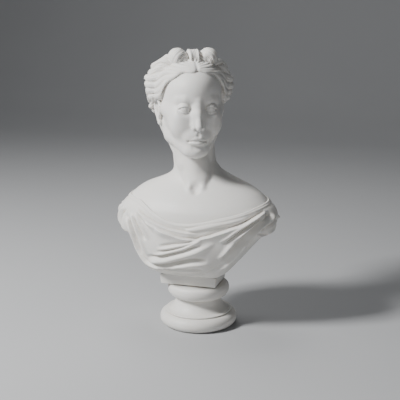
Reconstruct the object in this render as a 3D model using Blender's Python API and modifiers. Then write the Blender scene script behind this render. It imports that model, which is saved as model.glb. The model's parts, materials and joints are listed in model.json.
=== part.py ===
"""Library bust of a draped woman: hollow white castings bolted down on a turned socle.

Metres, +Z up. The origin is the middle of the socle's foot, on the axis of the tie rod.
The front of the plinth block faces -Y; the head looks a little towards +X.
"""
import math

import bmesh
import bpy
from mathutils import Matrix, Vector

# ---------------------------------------------------------------- driving dimensions
OVERALL_HEIGHT = 0.380
GAP = 0.0003                    # clearance left between pieces that touch
CASTING_WALL = 0.005            # slip-cast wall

FOOT_RADIUS = 0.0533
FOOT_RIM_INNER = 0.037          # the ground ring that the socle stands on
SOCLE_TOP = 0.0585
SOCLE_DISC_RADIUS = 0.0425
SOCLE_WAIST_RADIUS = 0.031
SOCLE_RECESS_TOP = 0.0259       # ceiling of the hollow under the socle
SOCLE_RECESS_RADIUS = 0.027

ROD_RADIUS = 0.004
ROD_HOLE_RADIUS = ROD_RADIUS + GAP
ROD_BOTTOM = 0.0105
ROD_TOP = 0.110

BEDDING_RADIUS = 0.024
BEDDING_THICKNESS = 0.0012
BLOCK_WIDTH = 0.079
BLOCK_DEPTH = 0.053
BLOCK_TOP = 0.0737
BLOCK_BATTER = 0.0010           # how much each side leans in towards the foot of the block
BUST_X = -0.007                 # the block sits a little off the rod, as it was bedded
BUST_Y = -0.002

NECKLINE_HEIGHT = 0.171         # height of the drapery's edge above the rod's axis
NECKLINE_SLOPE = math.radians(18.3)
SOCKET_DEPTH = 0.010            # how far the shoulders sit down inside the drapery

HEAD_CENTRE = Vector((-0.007, -0.006, 0.299))
HEAD_TURN = math.radians(30)
HAIR_CENTRE = Vector((-0.001, 0.012, 0.015))
HAIR_RADII = Vector((0.058, 0.050, 0.044))
CROWN_CENTRE = Vector((0, 0.004, 0.028))
CROWN_RADII = Vector((0.046, 0.040, 0.037))
ROLL_RADII = Vector((0.0125, 0.014, 0.013))
CHIGNON_RADII = Vector((0.026, 0.014, 0.024))

PLASTER_TOP = 0.118
ANCHOR_NUT_SIDE = 0.016
ANCHOR_NUT_HEIGHT = 0.008
ANCHOR_NUT_BOTTOM = 0.097
CLAMP_NUT_FLATS = 0.013
CLAMP_NUT_HEIGHT = 0.0065
IRON_WASHER_RADIUS = 0.014
LEATHER_WASHER_RADIUS = 0.016
WASHER_THICKNESS = 0.002
NUT_SOFTENING = 0.0006
BLOCK_SOFTENING = 0.0005
DRILL_OVERRUN = 0.02            # how far a cutting tool runs on past the piece it cuts

RING_SIDES = 48                 # facets round a lofted form
TURNED_SIDES = 40               # facets round a turned form

# Sections of the draped body: height, half width, half depth, centre x, centre y, squareness.
DRAPERY_SECTIONS = [
    (0.0740, 0.0405, 0.0275, -0.0060, -0.0020, 6.0),
    (0.0790, 0.0500, 0.0325, -0.0075, -0.0055, 4.0),
    (0.0860, 0.0610, 0.0395, -0.0100, -0.0088, 2.8),
    (0.0930, 0.0672, 0.0446, -0.0100, -0.0098, 2.4),
    (0.1100, 0.0795, 0.0525, -0.0074, -0.0083, 2.3),
    (0.1200, 0.0860, 0.0555, -0.0054, -0.0073, 2.3),
    (0.1300, 0.0930, 0.0580, -0.0046, -0.0057, 2.3),
    (0.1380, 0.1010, 0.0595, -0.0030, -0.0048, 2.3),
    (0.1450, 0.1095, 0.0605, 0.0005, -0.0042, 2.3),
    (0.1600, 0.1105, 0.0600, 0.0000, -0.0030, 2.3),
    (0.1700, 0.1055, 0.0580, 0.0000, -0.0020, 2.3),
    (0.1780, 0.1035, 0.0563, -0.0010, 0.0010, 2.3),
    (0.1880, 0.0925, 0.0508, -0.0020, 0.0040, 2.2),
    (0.1980, 0.0790, 0.0455, -0.0030, 0.0060, 2.2),
]
# Sections of the bare shoulders and neck, written in the same way.
SHOULDER_SECTIONS = [
    (0.1350, 0.0900, 0.0525, -0.0038, -0.0050, 2.3),
    (0.1430, 0.0990, 0.0535, -0.0010, -0.0042, 2.3),
    (0.1500, 0.1045, 0.0545, 0.0004, -0.0037, 2.3),
    (0.1600, 0.1045, 0.0540, 0.0000, -0.0030, 2.3),
    (0.1680, 0.1000, 0.0525, 0.0000, -0.0020, 2.3),
    (0.1780, 0.0975, 0.0503, -0.0010, 0.0010, 2.3),
    (0.1880, 0.0870, 0.0450, -0.0020, 0.0040, 2.2),
    (0.1960, 0.0745, 0.0400, -0.0030, 0.0060, 2.2),
    (0.2030, 0.0550, 0.0355, 0.0020, 0.0070, 2.1),
    (0.2070, 0.0440, 0.0330, 0.0020, 0.0070, 2.0),
    (0.2130, 0.0345, 0.0300, 0.0000, 0.0060, 2.0),
    (0.2220, 0.0285, 0.0280, -0.0070, 0.0040, 2.0),
    (0.2400, 0.0300, 0.0290, -0.0085, 0.0020, 2.0),
    (0.2580, 0.0310, 0.0310, -0.0095, 0.0000, 2.0),
    (0.2850, 0.0280, 0.0280, -0.0095, -0.0010, 2.0),
]


# ---------------------------------------------------------------- scene and helpers
def clear_scene():
    for obj in list(bpy.data.objects):
        bpy.data.objects.remove(obj)


def new_collection(name):
    collection = bpy.data.collections.new(name)
    bpy.context.scene.collection.children.link(collection)
    return collection


clear_scene()
BUST = new_collection("draped_bust")
CUTTERS = new_collection("cutters")


def file_in(obj, collection):
    """Move an object out of whatever holds it and into one collection."""
    for holder in list(obj.users_collection):
        holder.objects.unlink(obj)
    collection.objects.link(obj)
    if collection == CUTTERS:
        obj.hide_render = True
        obj.display_type = "WIRE"
    return obj


def make_material(name, colour, roughness, metallic=0.0):
    material = bpy.data.materials.new(name)
    material.use_nodes = True
    shader = material.node_tree.nodes["Principled BSDF"]
    shader.inputs["Base Color"].default_value = (*colour, 1.0)
    shader.inputs["Roughness"].default_value = roughness
    shader.inputs["Metallic"].default_value = metallic
    return material


def finish(obj, material, smooth_angle=40):
    """Give a piece its material and its smooth shading."""
    obj.data.materials.clear()
    obj.data.materials.append(material)
    obj.data.shade_smooth()
    obj.data.set_sharp_from_angle(angle=math.radians(smooth_angle))
    return obj


def mesh_object(name, shape, collection):
    """Turn a bmesh into an object with its faces pointing out."""
    bmesh.ops.recalc_face_normals(shape, faces=shape.faces)
    mesh = bpy.data.meshes.new(name)
    shape.to_mesh(mesh)
    shape.free()
    obj = bpy.data.objects.new(name, mesh)
    return file_in(obj, collection)


def box(name, size, centre, collection=BUST):
    shape = bmesh.new()
    bmesh.ops.create_cube(shape, size=1.0)
    bmesh.ops.scale(shape, vec=size, verts=shape.verts)
    obj = mesh_object(name, shape, collection)
    obj.location = centre
    return obj


def cylinder(name, radius, bottom, top, collection=BUST, sides=TURNED_SIDES):
    shape = bmesh.new()
    bmesh.ops.create_cone(shape, cap_ends=True, segments=sides, radius1=radius,
                          radius2=radius, depth=top - bottom)
    obj = mesh_object(name, shape, collection)
    obj.location = (0, 0, (top + bottom) / 2)
    return obj


def head_ellipsoid(name, centre, radii, collection, grow=0.0, segments=28, rings=18):
    """An ellipsoid placed in the head's own frame, which is turned about Z."""
    shape = bmesh.new()
    bmesh.ops.create_uvsphere(shape, u_segments=segments, v_segments=rings, radius=1.0)
    bmesh.ops.scale(shape, vec=[r + grow for r in radii], verts=shape.verts)
    obj = mesh_object(name, shape, collection)
    turn = Matrix.Rotation(HEAD_TURN, 4, "Z")
    obj.matrix_world = Matrix.Translation(HEAD_CENTRE) @ turn @ Matrix.Translation(centre)
    return obj


def section_ring(section, inset):
    """The points of one level section, a rounded oblong drawn in by inset."""
    height, half_width, half_depth, x, y, squareness = section
    power = 2.0 / squareness
    points = []
    for i in range(RING_SIDES):
        angle = math.tau * i / RING_SIDES
        c, s = math.cos(angle), math.sin(angle)
        along = math.copysign(abs(c) ** power, c) * (half_width - inset)
        across = math.copysign(abs(s) ** power, s) * (half_depth - inset)
        points.append(Vector((x + along, y + across, height)))
    return points


def loft(name, sections, collection, inset=0.0):
    """Skin a row of level sections and close both ends."""
    shape = bmesh.new()
    rings = [[shape.verts.new(p) for p in section_ring(s, inset)] for s in sections]
    for low, high in zip(rings, rings[1:]):
        for i in range(RING_SIDES):
            j = (i + 1) % RING_SIDES
            shape.faces.new((low[i], low[j], high[j], high[i]))
    shape.faces.new(rings[0])
    shape.faces.new(rings[-1])
    return mesh_object(name, shape, collection)


def ellipse_arc(x, z, width, height, start, end, steps):
    """Points of an elliptical arc in the profile plane, angles in degrees from +X."""
    angles = [math.radians(start + (end - start) * i / steps) for i in range(steps + 1)]
    return [(x + width * math.cos(a), z + height * math.sin(a)) for a in angles]


def turned(name, profile):
    """Turn a closed profile about the rod's axis."""
    mesh = bpy.data.meshes.new(name)
    edges = [(i, (i + 1) % len(profile)) for i in range(len(profile))]
    mesh.from_pydata([(r, 0.0, z) for r, z in profile], edges, [])
    obj = file_in(bpy.data.objects.new(name, mesh), BUST)
    screw = obj.modifiers.new("turn", "SCREW")
    screw.axis = "Z"
    screw.steps = TURNED_SIDES
    screw.render_steps = TURNED_SIDES
    screw.use_merge_vertices = True
    screw.merge_threshold = 0.00001
    screw.use_smooth_shade = True
    return obj


def washer(name, inner, outer, bottom, thickness):
    top = bottom + thickness
    return turned(name, [(inner, top), (outer, top), (outer, bottom), (inner, bottom)])


def boolean(obj, tool, operation):
    modifier = obj.modifiers.new(tool.name, "BOOLEAN")
    modifier.operation = operation
    modifier.solver = "EXACT"
    modifier.object = tool


def cut(obj, tool):
    boolean(obj, tool, "DIFFERENCE")


def join(obj, tool):
    boolean(obj, tool, "UNION")


def soften(obj, width, segments=2):
    """Round off the edges of a piece."""
    bevel = obj.modifiers.new("soft_edges", "BEVEL")
    bevel.width = width
    bevel.segments = segments


def neckline_tool(name, below, drop=0.0):
    """A slab that takes away everything above, or below, the slanting neckline."""
    size = 0.5
    tool = box(name, (size, size, size), (0, 0, 0), CUTTERS)
    side = -1 if below else 1
    lift = Matrix.Translation((0, 0, side * size / 2))
    slope = Matrix.Rotation(NECKLINE_SLOPE, 4, "X")
    tool.matrix_world = Matrix.Translation((0, 0, NECKLINE_HEIGHT - drop)) @ slope @ lift
    return tool


# ---------------------------------------------------------------- materials
PARIAN = (0.86, 0.85, 0.82)
PLASTER = (0.80, 0.77, 0.70)
IRON = (0.16, 0.14, 0.13)
LEATHER = (0.20, 0.10, 0.05)
CORK = (0.45, 0.30, 0.18)


# ---------------------------------------------------------------- socle
def build_socle():
    """Turned foot, hollow below, with a hole down the middle for the tie rod."""
    profile = [(ROD_HOLE_RADIUS, SOCLE_TOP)]
    profile += ellipse_arc(SOCLE_DISC_RADIUS - 0.004, 0.0525, 0.004, SOCLE_TOP - 0.0525, 90, 0, 4)
    profile += ellipse_arc(SOCLE_DISC_RADIUS - 0.0125, 0.0515, 0.0125, 0.0120, 0, -80, 7)
    profile += ellipse_arc(SOCLE_WAIST_RADIUS + 0.0135, 0.0388, 0.0135, 0.0173, 180, 270, 8)
    profile += [(0.0452, 0.0213), (0.0452, 0.0195)]
    profile += ellipse_arc(FOOT_RADIUS - 0.0098, 0.0097, 0.0098, 0.0095, 85, -70, 10)
    profile += [(FOOT_RADIUS - 0.0075, 0.0), (FOOT_RIM_INNER, 0.0)]
    profile += [(SOCLE_RECESS_RADIUS, SOCLE_RECESS_TOP), (ROD_HOLE_RADIUS, SOCLE_RECESS_TOP)]
    finish(turned("socle", profile), make_material("white_bisque_foot", PARIAN, 0.55))


# ---------------------------------------------------------------- clamping hardware
def build_hardware():
    """The iron rod with its nuts and washers, and the soft packings under them."""
    iron = make_material("wrought_iron", IRON, 0.6, 1.0)
    finish(cylinder("tie_rod", ROD_RADIUS, ROD_BOTTOM, ROD_TOP, sides=24), iron)

    leather_bottom = SOCLE_RECESS_TOP - GAP - WASHER_THICKNESS
    leather = washer("leather_washer", ROD_HOLE_RADIUS, LEATHER_WASHER_RADIUS,
                     leather_bottom, WASHER_THICKNESS)
    finish(leather, make_material("oak_tanned_leather", LEATHER, 0.7))

    iron_bottom = leather_bottom - GAP - WASHER_THICKNESS
    plate = washer("iron_washer", ROD_HOLE_RADIUS, IRON_WASHER_RADIUS, iron_bottom,
                   WASHER_THICKNESS)
    finish(plate, iron)

    nut_top = iron_bottom - GAP
    corner_radius = CLAMP_NUT_FLATS / 2 / math.cos(math.radians(30))
    nut = cylinder("clamp_nut", corner_radius, nut_top - CLAMP_NUT_HEIGHT, nut_top, sides=6)
    soften(nut, NUT_SOFTENING)
    bore = cylinder("nut_bore", ROD_HOLE_RADIUS, nut_top - DRILL_OVERRUN,
                    nut_top + DRILL_OVERRUN, CUTTERS, 24)
    cut(nut, bore)
    finish(nut, iron)

    anchor_top = ANCHOR_NUT_BOTTOM + ANCHOR_NUT_HEIGHT
    middle = (ANCHOR_NUT_BOTTOM + anchor_top) / 2
    side = ANCHOR_NUT_SIDE
    anchor = box("anchor_nut", (side, side, ANCHOR_NUT_HEIGHT), (0, 0, middle))
    anchor_bore = cylinder("anchor_bore", ROD_HOLE_RADIUS, ANCHOR_NUT_BOTTOM - DRILL_OVERRUN,
                           anchor_top + DRILL_OVERRUN, CUTTERS, 24)
    cut(anchor, anchor_bore)
    finish(anchor, iron)

    bedding = washer("bedding_washer", ROD_HOLE_RADIUS, BEDDING_RADIUS, SOCLE_TOP + GAP,
                     BEDDING_THICKNESS)
    finish(bedding, make_material("pressed_cork", CORK, 0.85))


# ---------------------------------------------------------------- plinth block
def build_block():
    """Small oblong block under the drapery, leaning in slightly towards its foot."""
    bottom = SOCLE_TOP + BEDDING_THICKNESS + 2 * GAP
    height = BLOCK_TOP - bottom
    shape = bmesh.new()
    bmesh.ops.create_cube(shape, size=1.0)
    bmesh.ops.scale(shape, vec=(BLOCK_WIDTH, BLOCK_DEPTH, height), verts=shape.verts)
    for vert in shape.verts:
        if vert.co.z < 0:
            vert.co.x -= math.copysign(BLOCK_BATTER, vert.co.x)
            vert.co.y -= math.copysign(BLOCK_BATTER, vert.co.y)
    block = mesh_object("plinth_block", shape, BUST)
    block.location = (BUST_X, BUST_Y, bottom + height / 2)
    soften(block, BLOCK_SOFTENING)
    hole = cylinder("block_hole", ROD_HOLE_RADIUS, bottom - DRILL_OVERRUN,
                    BLOCK_TOP + DRILL_OVERRUN, CUTTERS, 24)
    cut(block, hole)
    finish(block, make_material("white_bisque_block", PARIAN, 0.55), 30)


# ---------------------------------------------------------------- drapery
FLOOR_LIFT = 0.004              # the bowl of the drapery keeps its thickness on the slope
FLOOR_HOLE = (0.030, 0.018)     # half sizes of the hole in the drapery's floor


def drapery_hollow(shrink, start):
    """Sections of the hollow inside the drapery, from its floor hole up."""
    first = DRAPERY_SECTIONS[0]
    half_width, half_depth = FLOOR_HOLE
    hole = (half_width - shrink, half_depth - shrink, first[3], first[4], 3.0)
    sections = [(start, *hole), (first[0] + FLOOR_LIFT, *hole)]
    for height, width, depth, x, y, squareness in DRAPERY_SECTIONS[1:]:
        inset = CASTING_WALL + shrink
        sections.append((height + FLOOR_LIFT, width - inset, depth - inset, x, y, squareness))
    return sections


def build_drapery():
    """The gown and the ends of the arms in one hollow casting, open at the neckline."""
    drapery = loft("drapery", DRAPERY_SECTIONS, BUST)
    cut(drapery, loft("drapery_core", drapery_hollow(0.0, 0.070), CUTTERS))
    seat = loft("shoulder_seat", SHOULDER_SECTIONS, CUTTERS, inset=-GAP)
    cut(drapery, seat)
    cut(drapery, neckline_tool("above_neckline", below=False))
    finish(drapery, make_material("white_bisque_drapery", PARIAN, 0.55), 50)


def build_plaster():
    """Plaster run into the foot of the bust, which holds the anchor nut."""
    core = [s for s in drapery_hollow(2 * GAP, DRAPERY_SECTIONS[0][0]) if s[0] < PLASTER_TOP]
    height, width, depth, x, y, squareness = core[-1]
    core.append((PLASTER_TOP, width, depth, x, y, squareness))
    plaster = loft("plaster_setting", core, BUST)
    cut(plaster, cylinder("rod_way", ROD_HOLE_RADIUS, 0.05, ROD_TOP + GAP, CUTTERS, 24))
    side = ANCHOR_NUT_SIDE + 2 * GAP
    middle = ANCHOR_NUT_BOTTOM + ANCHOR_NUT_HEIGHT / 2
    size = (side, side, ANCHOR_NUT_HEIGHT + 2 * GAP)
    cut(plaster, box("nut_pocket", size, (0, 0, middle), CUTTERS))
    finish(plaster, make_material("casting_plaster", PLASTER, 0.8), 50)


# ---------------------------------------------------------------- head and shoulders
FACE_CENTRE = Vector((0, -0.012, -0.009))
FACE_RADII = Vector((0.036, 0.036, 0.050))
SKULL_CENTRE = Vector((0, 0.003, 0.008))
SKULL_RADII = Vector((0.040, 0.048, 0.042))
NAPE_CENTRE = Vector((0, 0.024, -0.012))
NAPE_RADII = Vector((0.040, 0.032, 0.028))
NOSE_CENTRE = Vector((0, -0.047, -0.012))
NOSE_RADII = Vector((0.005, 0.009, 0.014))


def build_head_and_shoulders():
    """Head, neck, shoulders and breast in one hollow casting, let into the drapery."""
    bust = loft("head_and_shoulders", SHOULDER_SECTIONS, BUST)
    join(bust, head_ellipsoid("face_form", FACE_CENTRE, FACE_RADII, CUTTERS))
    join(bust, head_ellipsoid("skull_form", SKULL_CENTRE, SKULL_RADII, CUTTERS))
    join(bust, head_ellipsoid("hair_form", HAIR_CENTRE, HAIR_RADII, CUTTERS))
    join(bust, head_ellipsoid("crown_form", CROWN_CENTRE, CROWN_RADII, CUTTERS))
    join(bust, head_ellipsoid("nape_form", NAPE_CENTRE, NAPE_RADII, CUTTERS))
    join(bust, head_ellipsoid("nose_form", NOSE_CENTRE, NOSE_RADII, CUTTERS, segments=14, rings=8))

    below = (SHOULDER_SECTIONS[0][0] - 0.01, *SHOULDER_SECTIONS[0][1:])
    neck_core = loft("neck_core", [below] + SHOULDER_SECTIONS, CUTTERS, inset=CASTING_WALL)
    cut(bust, neck_core)
    cut(bust, head_ellipsoid("head_core", HAIR_CENTRE, HAIR_RADII, CUTTERS, grow=-0.009))
    cut(bust, neckline_tool("below_socket", below=True, drop=SOCKET_DEPTH))
    finish(bust, make_material("white_bisque_skin", PARIAN, 0.55), 50)


# ---------------------------------------------------------------- applied hair pieces
ROLL_HEIGHT = OVERALL_HEIGHT - HEAD_CENTRE.z - ROLL_RADII.z
ROLL_SPREAD = 0.0215            # centre of each side roll from the middle of the head
ROLL_FORWARD = -0.002
KNOT_RADII = Vector((0.0075, 0.0135, 0.0125))
CHIGNON_CENTRE = Vector((0, 0.060, 0.008))


def build_hair_pieces():
    """Rolls of the coronet and the chignon, cast apart and stuck on with slip."""
    bisque = make_material("white_bisque_hair", PARIAN, 0.55)
    hair_bed = head_ellipsoid("hair_bed", HAIR_CENTRE, HAIR_RADII, CUTTERS, grow=2 * GAP)
    crown_bed = head_ellipsoid("crown_bed", CROWN_CENTRE, CROWN_RADII, CUTTERS, grow=2 * GAP)
    for name, side in (("right_roll", -1), ("left_roll", 1)):
        place = Vector((side * ROLL_SPREAD, ROLL_FORWARD, ROLL_HEIGHT))
        roll = head_ellipsoid(name, place, ROLL_RADII, BUST, segments=22, rings=14)
        cut(roll, hair_bed)
        cut(roll, crown_bed)
        finish(roll, bisque)
    place = Vector((0, ROLL_FORWARD, ROLL_HEIGHT - 0.002))
    knot = head_ellipsoid("middle_knot", place, KNOT_RADII, BUST, segments=22, rings=14)
    cut(knot, hair_bed)
    cut(knot, crown_bed)
    finish(knot, bisque)
    chignon = head_ellipsoid("chignon", CHIGNON_CENTRE, CHIGNON_RADII, BUST, segments=26, rings=16)
    cut(chignon, hair_bed)
    cut(chignon, head_ellipsoid("nape_bed", NAPE_CENTRE, NAPE_RADII, CUTTERS, grow=2 * GAP))
    finish(chignon, bisque)


build_socle()
build_hardware()
build_block()
build_drapery()
build_plaster()
build_head_and_shoulders()
build_hair_pieces()
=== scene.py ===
import json
import math

import bpy
import numpy as np
import openvdb
from mathutils import Matrix, Vector

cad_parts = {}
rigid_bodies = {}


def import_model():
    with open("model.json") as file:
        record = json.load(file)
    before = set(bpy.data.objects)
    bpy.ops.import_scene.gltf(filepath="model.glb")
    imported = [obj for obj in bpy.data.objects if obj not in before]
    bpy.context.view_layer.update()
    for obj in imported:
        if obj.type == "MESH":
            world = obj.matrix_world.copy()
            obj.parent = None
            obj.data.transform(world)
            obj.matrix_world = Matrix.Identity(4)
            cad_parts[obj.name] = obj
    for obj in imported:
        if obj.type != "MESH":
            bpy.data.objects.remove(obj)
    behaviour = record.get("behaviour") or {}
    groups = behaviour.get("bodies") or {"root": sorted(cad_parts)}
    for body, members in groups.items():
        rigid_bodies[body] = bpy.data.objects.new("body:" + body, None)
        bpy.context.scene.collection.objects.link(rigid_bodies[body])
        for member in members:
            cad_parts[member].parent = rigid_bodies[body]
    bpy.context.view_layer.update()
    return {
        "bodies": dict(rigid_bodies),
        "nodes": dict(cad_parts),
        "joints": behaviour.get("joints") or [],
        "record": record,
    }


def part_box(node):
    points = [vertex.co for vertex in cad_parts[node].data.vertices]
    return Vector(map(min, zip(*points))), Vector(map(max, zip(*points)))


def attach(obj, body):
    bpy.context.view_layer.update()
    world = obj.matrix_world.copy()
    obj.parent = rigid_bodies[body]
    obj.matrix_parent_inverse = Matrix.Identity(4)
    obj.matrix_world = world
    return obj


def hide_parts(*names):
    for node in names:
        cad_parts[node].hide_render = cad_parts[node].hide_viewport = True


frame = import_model()


# ---- studio ------------------------------------------------------------------------------
# A plain pale sweep of card, a main lamp high on the left, a faint fill from the right and a
# small lamp above and behind, with the camera a little to the bust's left and above its chin.

bpy.ops.mesh.primitive_plane_add(size=14, location=(0, 1.2, 0))
sweep = bpy.context.object
sweep.name = "studio_sweep"
bpy.ops.object.mode_set(mode="EDIT")
bpy.ops.mesh.select_all(action="SELECT")
bpy.ops.mesh.subdivide(number_cuts=40)
bpy.ops.object.mode_set(mode="OBJECT")
for vert in sweep.data.vertices:
    back = max(0.0, vert.co.y - 0.6) / 1.2
    turn = min(back, math.pi / 2)
    vert.co.y = min(vert.co.y, 0.6) + 1.2 * math.sin(turn)
    vert.co.z = 1.2 * (1 - math.cos(turn)) + 1.2 * max(0.0, back - math.pi / 2)
bpy.ops.object.transform_apply(location=True, rotation=True, scale=True)
bpy.ops.object.shade_smooth()
card = bpy.data.materials.new("pale_card")
card.use_nodes = True
nodes, links = card.node_tree.nodes, card.node_tree.links
shader = nodes["Principled BSDF"]
where = nodes.new("ShaderNodeTexCoord")
grain = nodes.new("ShaderNodeTexNoise")
grain.inputs["Scale"].default_value = 3.0
shade = nodes.new("ShaderNodeMix")
shade.data_type = "RGBA"
shade.inputs["A"].default_value = (0.46, 0.465, 0.475, 1)
shade.inputs["B"].default_value = (0.49, 0.495, 0.50, 1)
links.new(where.outputs["Object"], grain.inputs["Vector"])
links.new(grain.outputs["Fac"], shade.inputs["Factor"])
links.new(shade.outputs["Result"], shader.inputs["Base Color"])
shader.inputs["Roughness"].default_value = 0.8
sweep.data.materials.append(card)

for name, place, watts, width in (
        ("key_lamp", (-0.95, -0.90, 1.20), 46.0, 0.32),
        ("fill_lamp", (0.9, -1.5, 0.6), 2.4, 1.0),
        ("top_lamp", (-0.3, 0.35, 1.4), 5.0, 0.6)):
    bpy.ops.object.light_add(type="AREA", location=place)
    lamp = bpy.context.object
    lamp.name = name
    lamp.data.energy = watts
    lamp.data.size = width
    lamp.rotation_euler = (Vector((0, 0, 0.24)) - Vector(place)).to_track_quat("-Z", "Y").to_euler()
room = bpy.data.worlds.new("studio_room")
bpy.context.scene.world = room
room.use_nodes = True
room.node_tree.nodes["Background"].inputs["Color"].default_value = (0.82, 0.87, 0.94, 1)
room.node_tree.nodes["Background"].inputs["Strength"].default_value = 0.07

bpy.ops.object.camera_add(location=(0.3216, -1.0519, 0.42))
camera = bpy.context.object
camera.name = "main_camera"
aim = Vector((0, 0, 0.174)) - camera.location
camera.rotation_euler = aim.to_track_quat("-Z", "Y").to_euler()
camera.data.lens = 74.7
camera.data.sensor_width = 36
camera.data.shift_x = 0.00375
bpy.context.scene.camera = camera


# ---- socle -------------------------------------------------------------------------------
# The turned foot: matt white bisque porcelain thrown in a plaster mould and fettled on the
# wheel, hollow below, with a hole up the middle for the tie rod.

def bisque(name, light, warm, rough, scale=1.0):
    """Unglazed white porcelain: cloudy body, painted shade in the hollows, rubbed edges, fine
    tooth.
    """
    material = bpy.data.materials.new(name)
    material.use_nodes = True
    nodes, links = material.node_tree.nodes, material.node_tree.links
    shader = nodes["Principled BSDF"]
    where = nodes.new("ShaderNodeTexCoord")

    def noise(size, detail, rough_part=0.5):
        texture = nodes.new("ShaderNodeTexNoise")
        texture.inputs["Scale"].default_value = size * scale
        texture.inputs["Detail"].default_value = detail
        texture.inputs["Roughness"].default_value = rough_part
        links.new(where.outputs["Object"], texture.inputs["Vector"])
        return texture.outputs["Fac"]

    def spread(value, low, high, to_low, to_high):
        box = nodes.new("ShaderNodeMapRange")
        for socket, number in (("From Min", low), ("From Max", high), ("To Min", to_low),
                               ("To Max", to_high)):
            box.inputs[socket].default_value = number
        links.new(value, box.inputs["Value"])
        return box.outputs["Result"]

    def blend(amount, first, second):
        box = nodes.new("ShaderNodeMix")
        box.data_type = "RGBA"
        links.new(amount, box.inputs["Factor"])
        for socket, colour in (("A", first), ("B", second)):
            if isinstance(colour, tuple):
                box.inputs[socket].default_value = (*colour, 1)
            else:
                links.new(colour, box.inputs[socket])
        return box.outputs["Result"]

    shape = nodes.new("ShaderNodeNewGeometry").outputs["Pointiness"]
    # Painted shade: hollows found by pointiness are darkened towards a dull warm grey, standing in
    # for shadow in folds and creases.
    painted_hollow_shade = spread(shape, 0.43, 0.495, 0.75, 0.0)
    ridge = spread(shape, 0.515, 0.60, 0.0, 0.8)
    cloud = spread(noise(22, 5, 0.6), 0.35, 0.70, 0.0, 1.0)
    body = blend(cloud, light, warm)
    painted_shade_colour = tuple(c * k for c, k in zip(warm, (0.72, 0.68, 0.62)))
    body = blend(painted_hollow_shade, body, painted_shade_colour)
    body = blend(ridge, body, tuple(min(1.0, c * 1.035) for c in light))
    speck = spread(noise(420, 2), 0.745, 0.80, 0.0, 0.4)
    body = blend(speck, body, (0.46, 0.37, 0.28))
    links.new(body, shader.inputs["Base Color"])

    finish = spread(noise(60, 4), 0.3, 0.7, rough - 0.06, rough + 0.06)
    less = nodes.new("ShaderNodeMath")
    less.operation = "MULTIPLY_ADD"
    links.new(ridge, less.inputs[0])
    less.inputs[1].default_value = -0.12
    links.new(finish, less.inputs[2])
    links.new(less.outputs["Value"], shader.inputs["Roughness"])

    tooth = nodes.new("ShaderNodeMath")
    tooth.operation = "MULTIPLY_ADD"
    links.new(noise(1500, 3), tooth.inputs[0])
    tooth.inputs[1].default_value = 0.25
    links.new(noise(130, 4, 0.55), tooth.inputs[2])
    bump = nodes.new("ShaderNodeBump")
    bump.inputs["Strength"].default_value = 0.22
    bump.inputs["Distance"].default_value = 0.00035
    links.new(tooth.outputs["Value"], bump.inputs["Height"])
    links.new(bump.outputs["Normal"], shader.inputs["Normal"])
    shader.inputs["IOR"].default_value = 1.48
    shader.inputs["Subsurface Weight"].default_value = 0.12
    shader.inputs["Subsurface Radius"].default_value = (1.0, 0.8, 0.6)
    shader.inputs["Subsurface Scale"].default_value = 0.003
    return material


def arc(x, z, width, height, start, end, steps):
    """Points on a quarter or so of an ellipse, for a turned moulding (degrees)."""
    turns = [math.radians(start + (end - start) * k / steps) for k in range(steps + 1)]
    return [(x + width * math.cos(t), z + height * math.sin(t)) for t in turns]


profile = [(0.0043, 0.0585), (0.0200, 0.0585)]
profile += arc(0.0385, 0.0525, 0.0040, 0.0060, 90, 0, 12)
profile += arc(0.0300, 0.0515, 0.0125, 0.0120, 0, -80, 18)
profile += arc(0.0445, 0.0388, 0.0135, 0.0173, 181, 268, 26)
profile += arc(0.0446, 0.0205, 0.0008, 0.0009, 80, -80, 8)
profile += arc(0.0435, 0.0097, 0.0098, 0.0095, 86, -68, 26)
profile += [(0.0466, 0.0003), (0.0458, 0.0000), (0.0375, 0.0000), (0.0370, 0.0005)]
profile += [(0.0275, 0.0250), (0.0265, 0.0259), (0.0043, 0.0259)]

bpy.ops.object.select_all(action="DESELECT")
bpy.ops.mesh.primitive_plane_add(size=0.001)
socle = bpy.context.object
socle.name = "socle_turning"
bpy.ops.object.mode_set(mode="EDIT")
bpy.ops.mesh.select_all(action="SELECT")
bpy.ops.mesh.merge(type="CENTER")
bpy.ops.transform.translate(value=(profile[0][0], 0, profile[0][1]))
for (x, z), (next_x, next_z) in zip(profile, profile[1:]):
    step = (next_x - x, 0, next_z - z)
    bpy.ops.mesh.extrude_region_move(TRANSFORM_OT_translate={"value": step})
first_step = (profile[0][0] - profile[-1][0], 0, profile[0][1] - profile[-1][1])
bpy.ops.mesh.extrude_region_move(TRANSFORM_OT_translate={"value": first_step})
bpy.ops.mesh.select_all(action="SELECT")
bpy.ops.mesh.spin(steps=192, angle=math.tau, center=(0, 0, 0), axis=(0, 0, 1))
bpy.ops.mesh.select_all(action="SELECT")
bpy.ops.mesh.remove_doubles(threshold=0.00001)
bpy.ops.mesh.normals_make_consistent(inside=False)
bpy.ops.object.mode_set(mode="OBJECT")
bpy.ops.object.shade_smooth_by_angle(angle=math.radians(40))
socle.data.materials.append(bisque("foot_porcelain", (0.80, 0.785, 0.75), (0.77, 0.745, 0.70),
                                   0.50))
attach(socle, "socle")
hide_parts("socle")


# ---- plinth block ------------------------------------------------------------------------
# A small oblong block with sharp arrises and a hair's batter, cast with the bust and stood
# on the foot over a thin cork washer.

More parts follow.
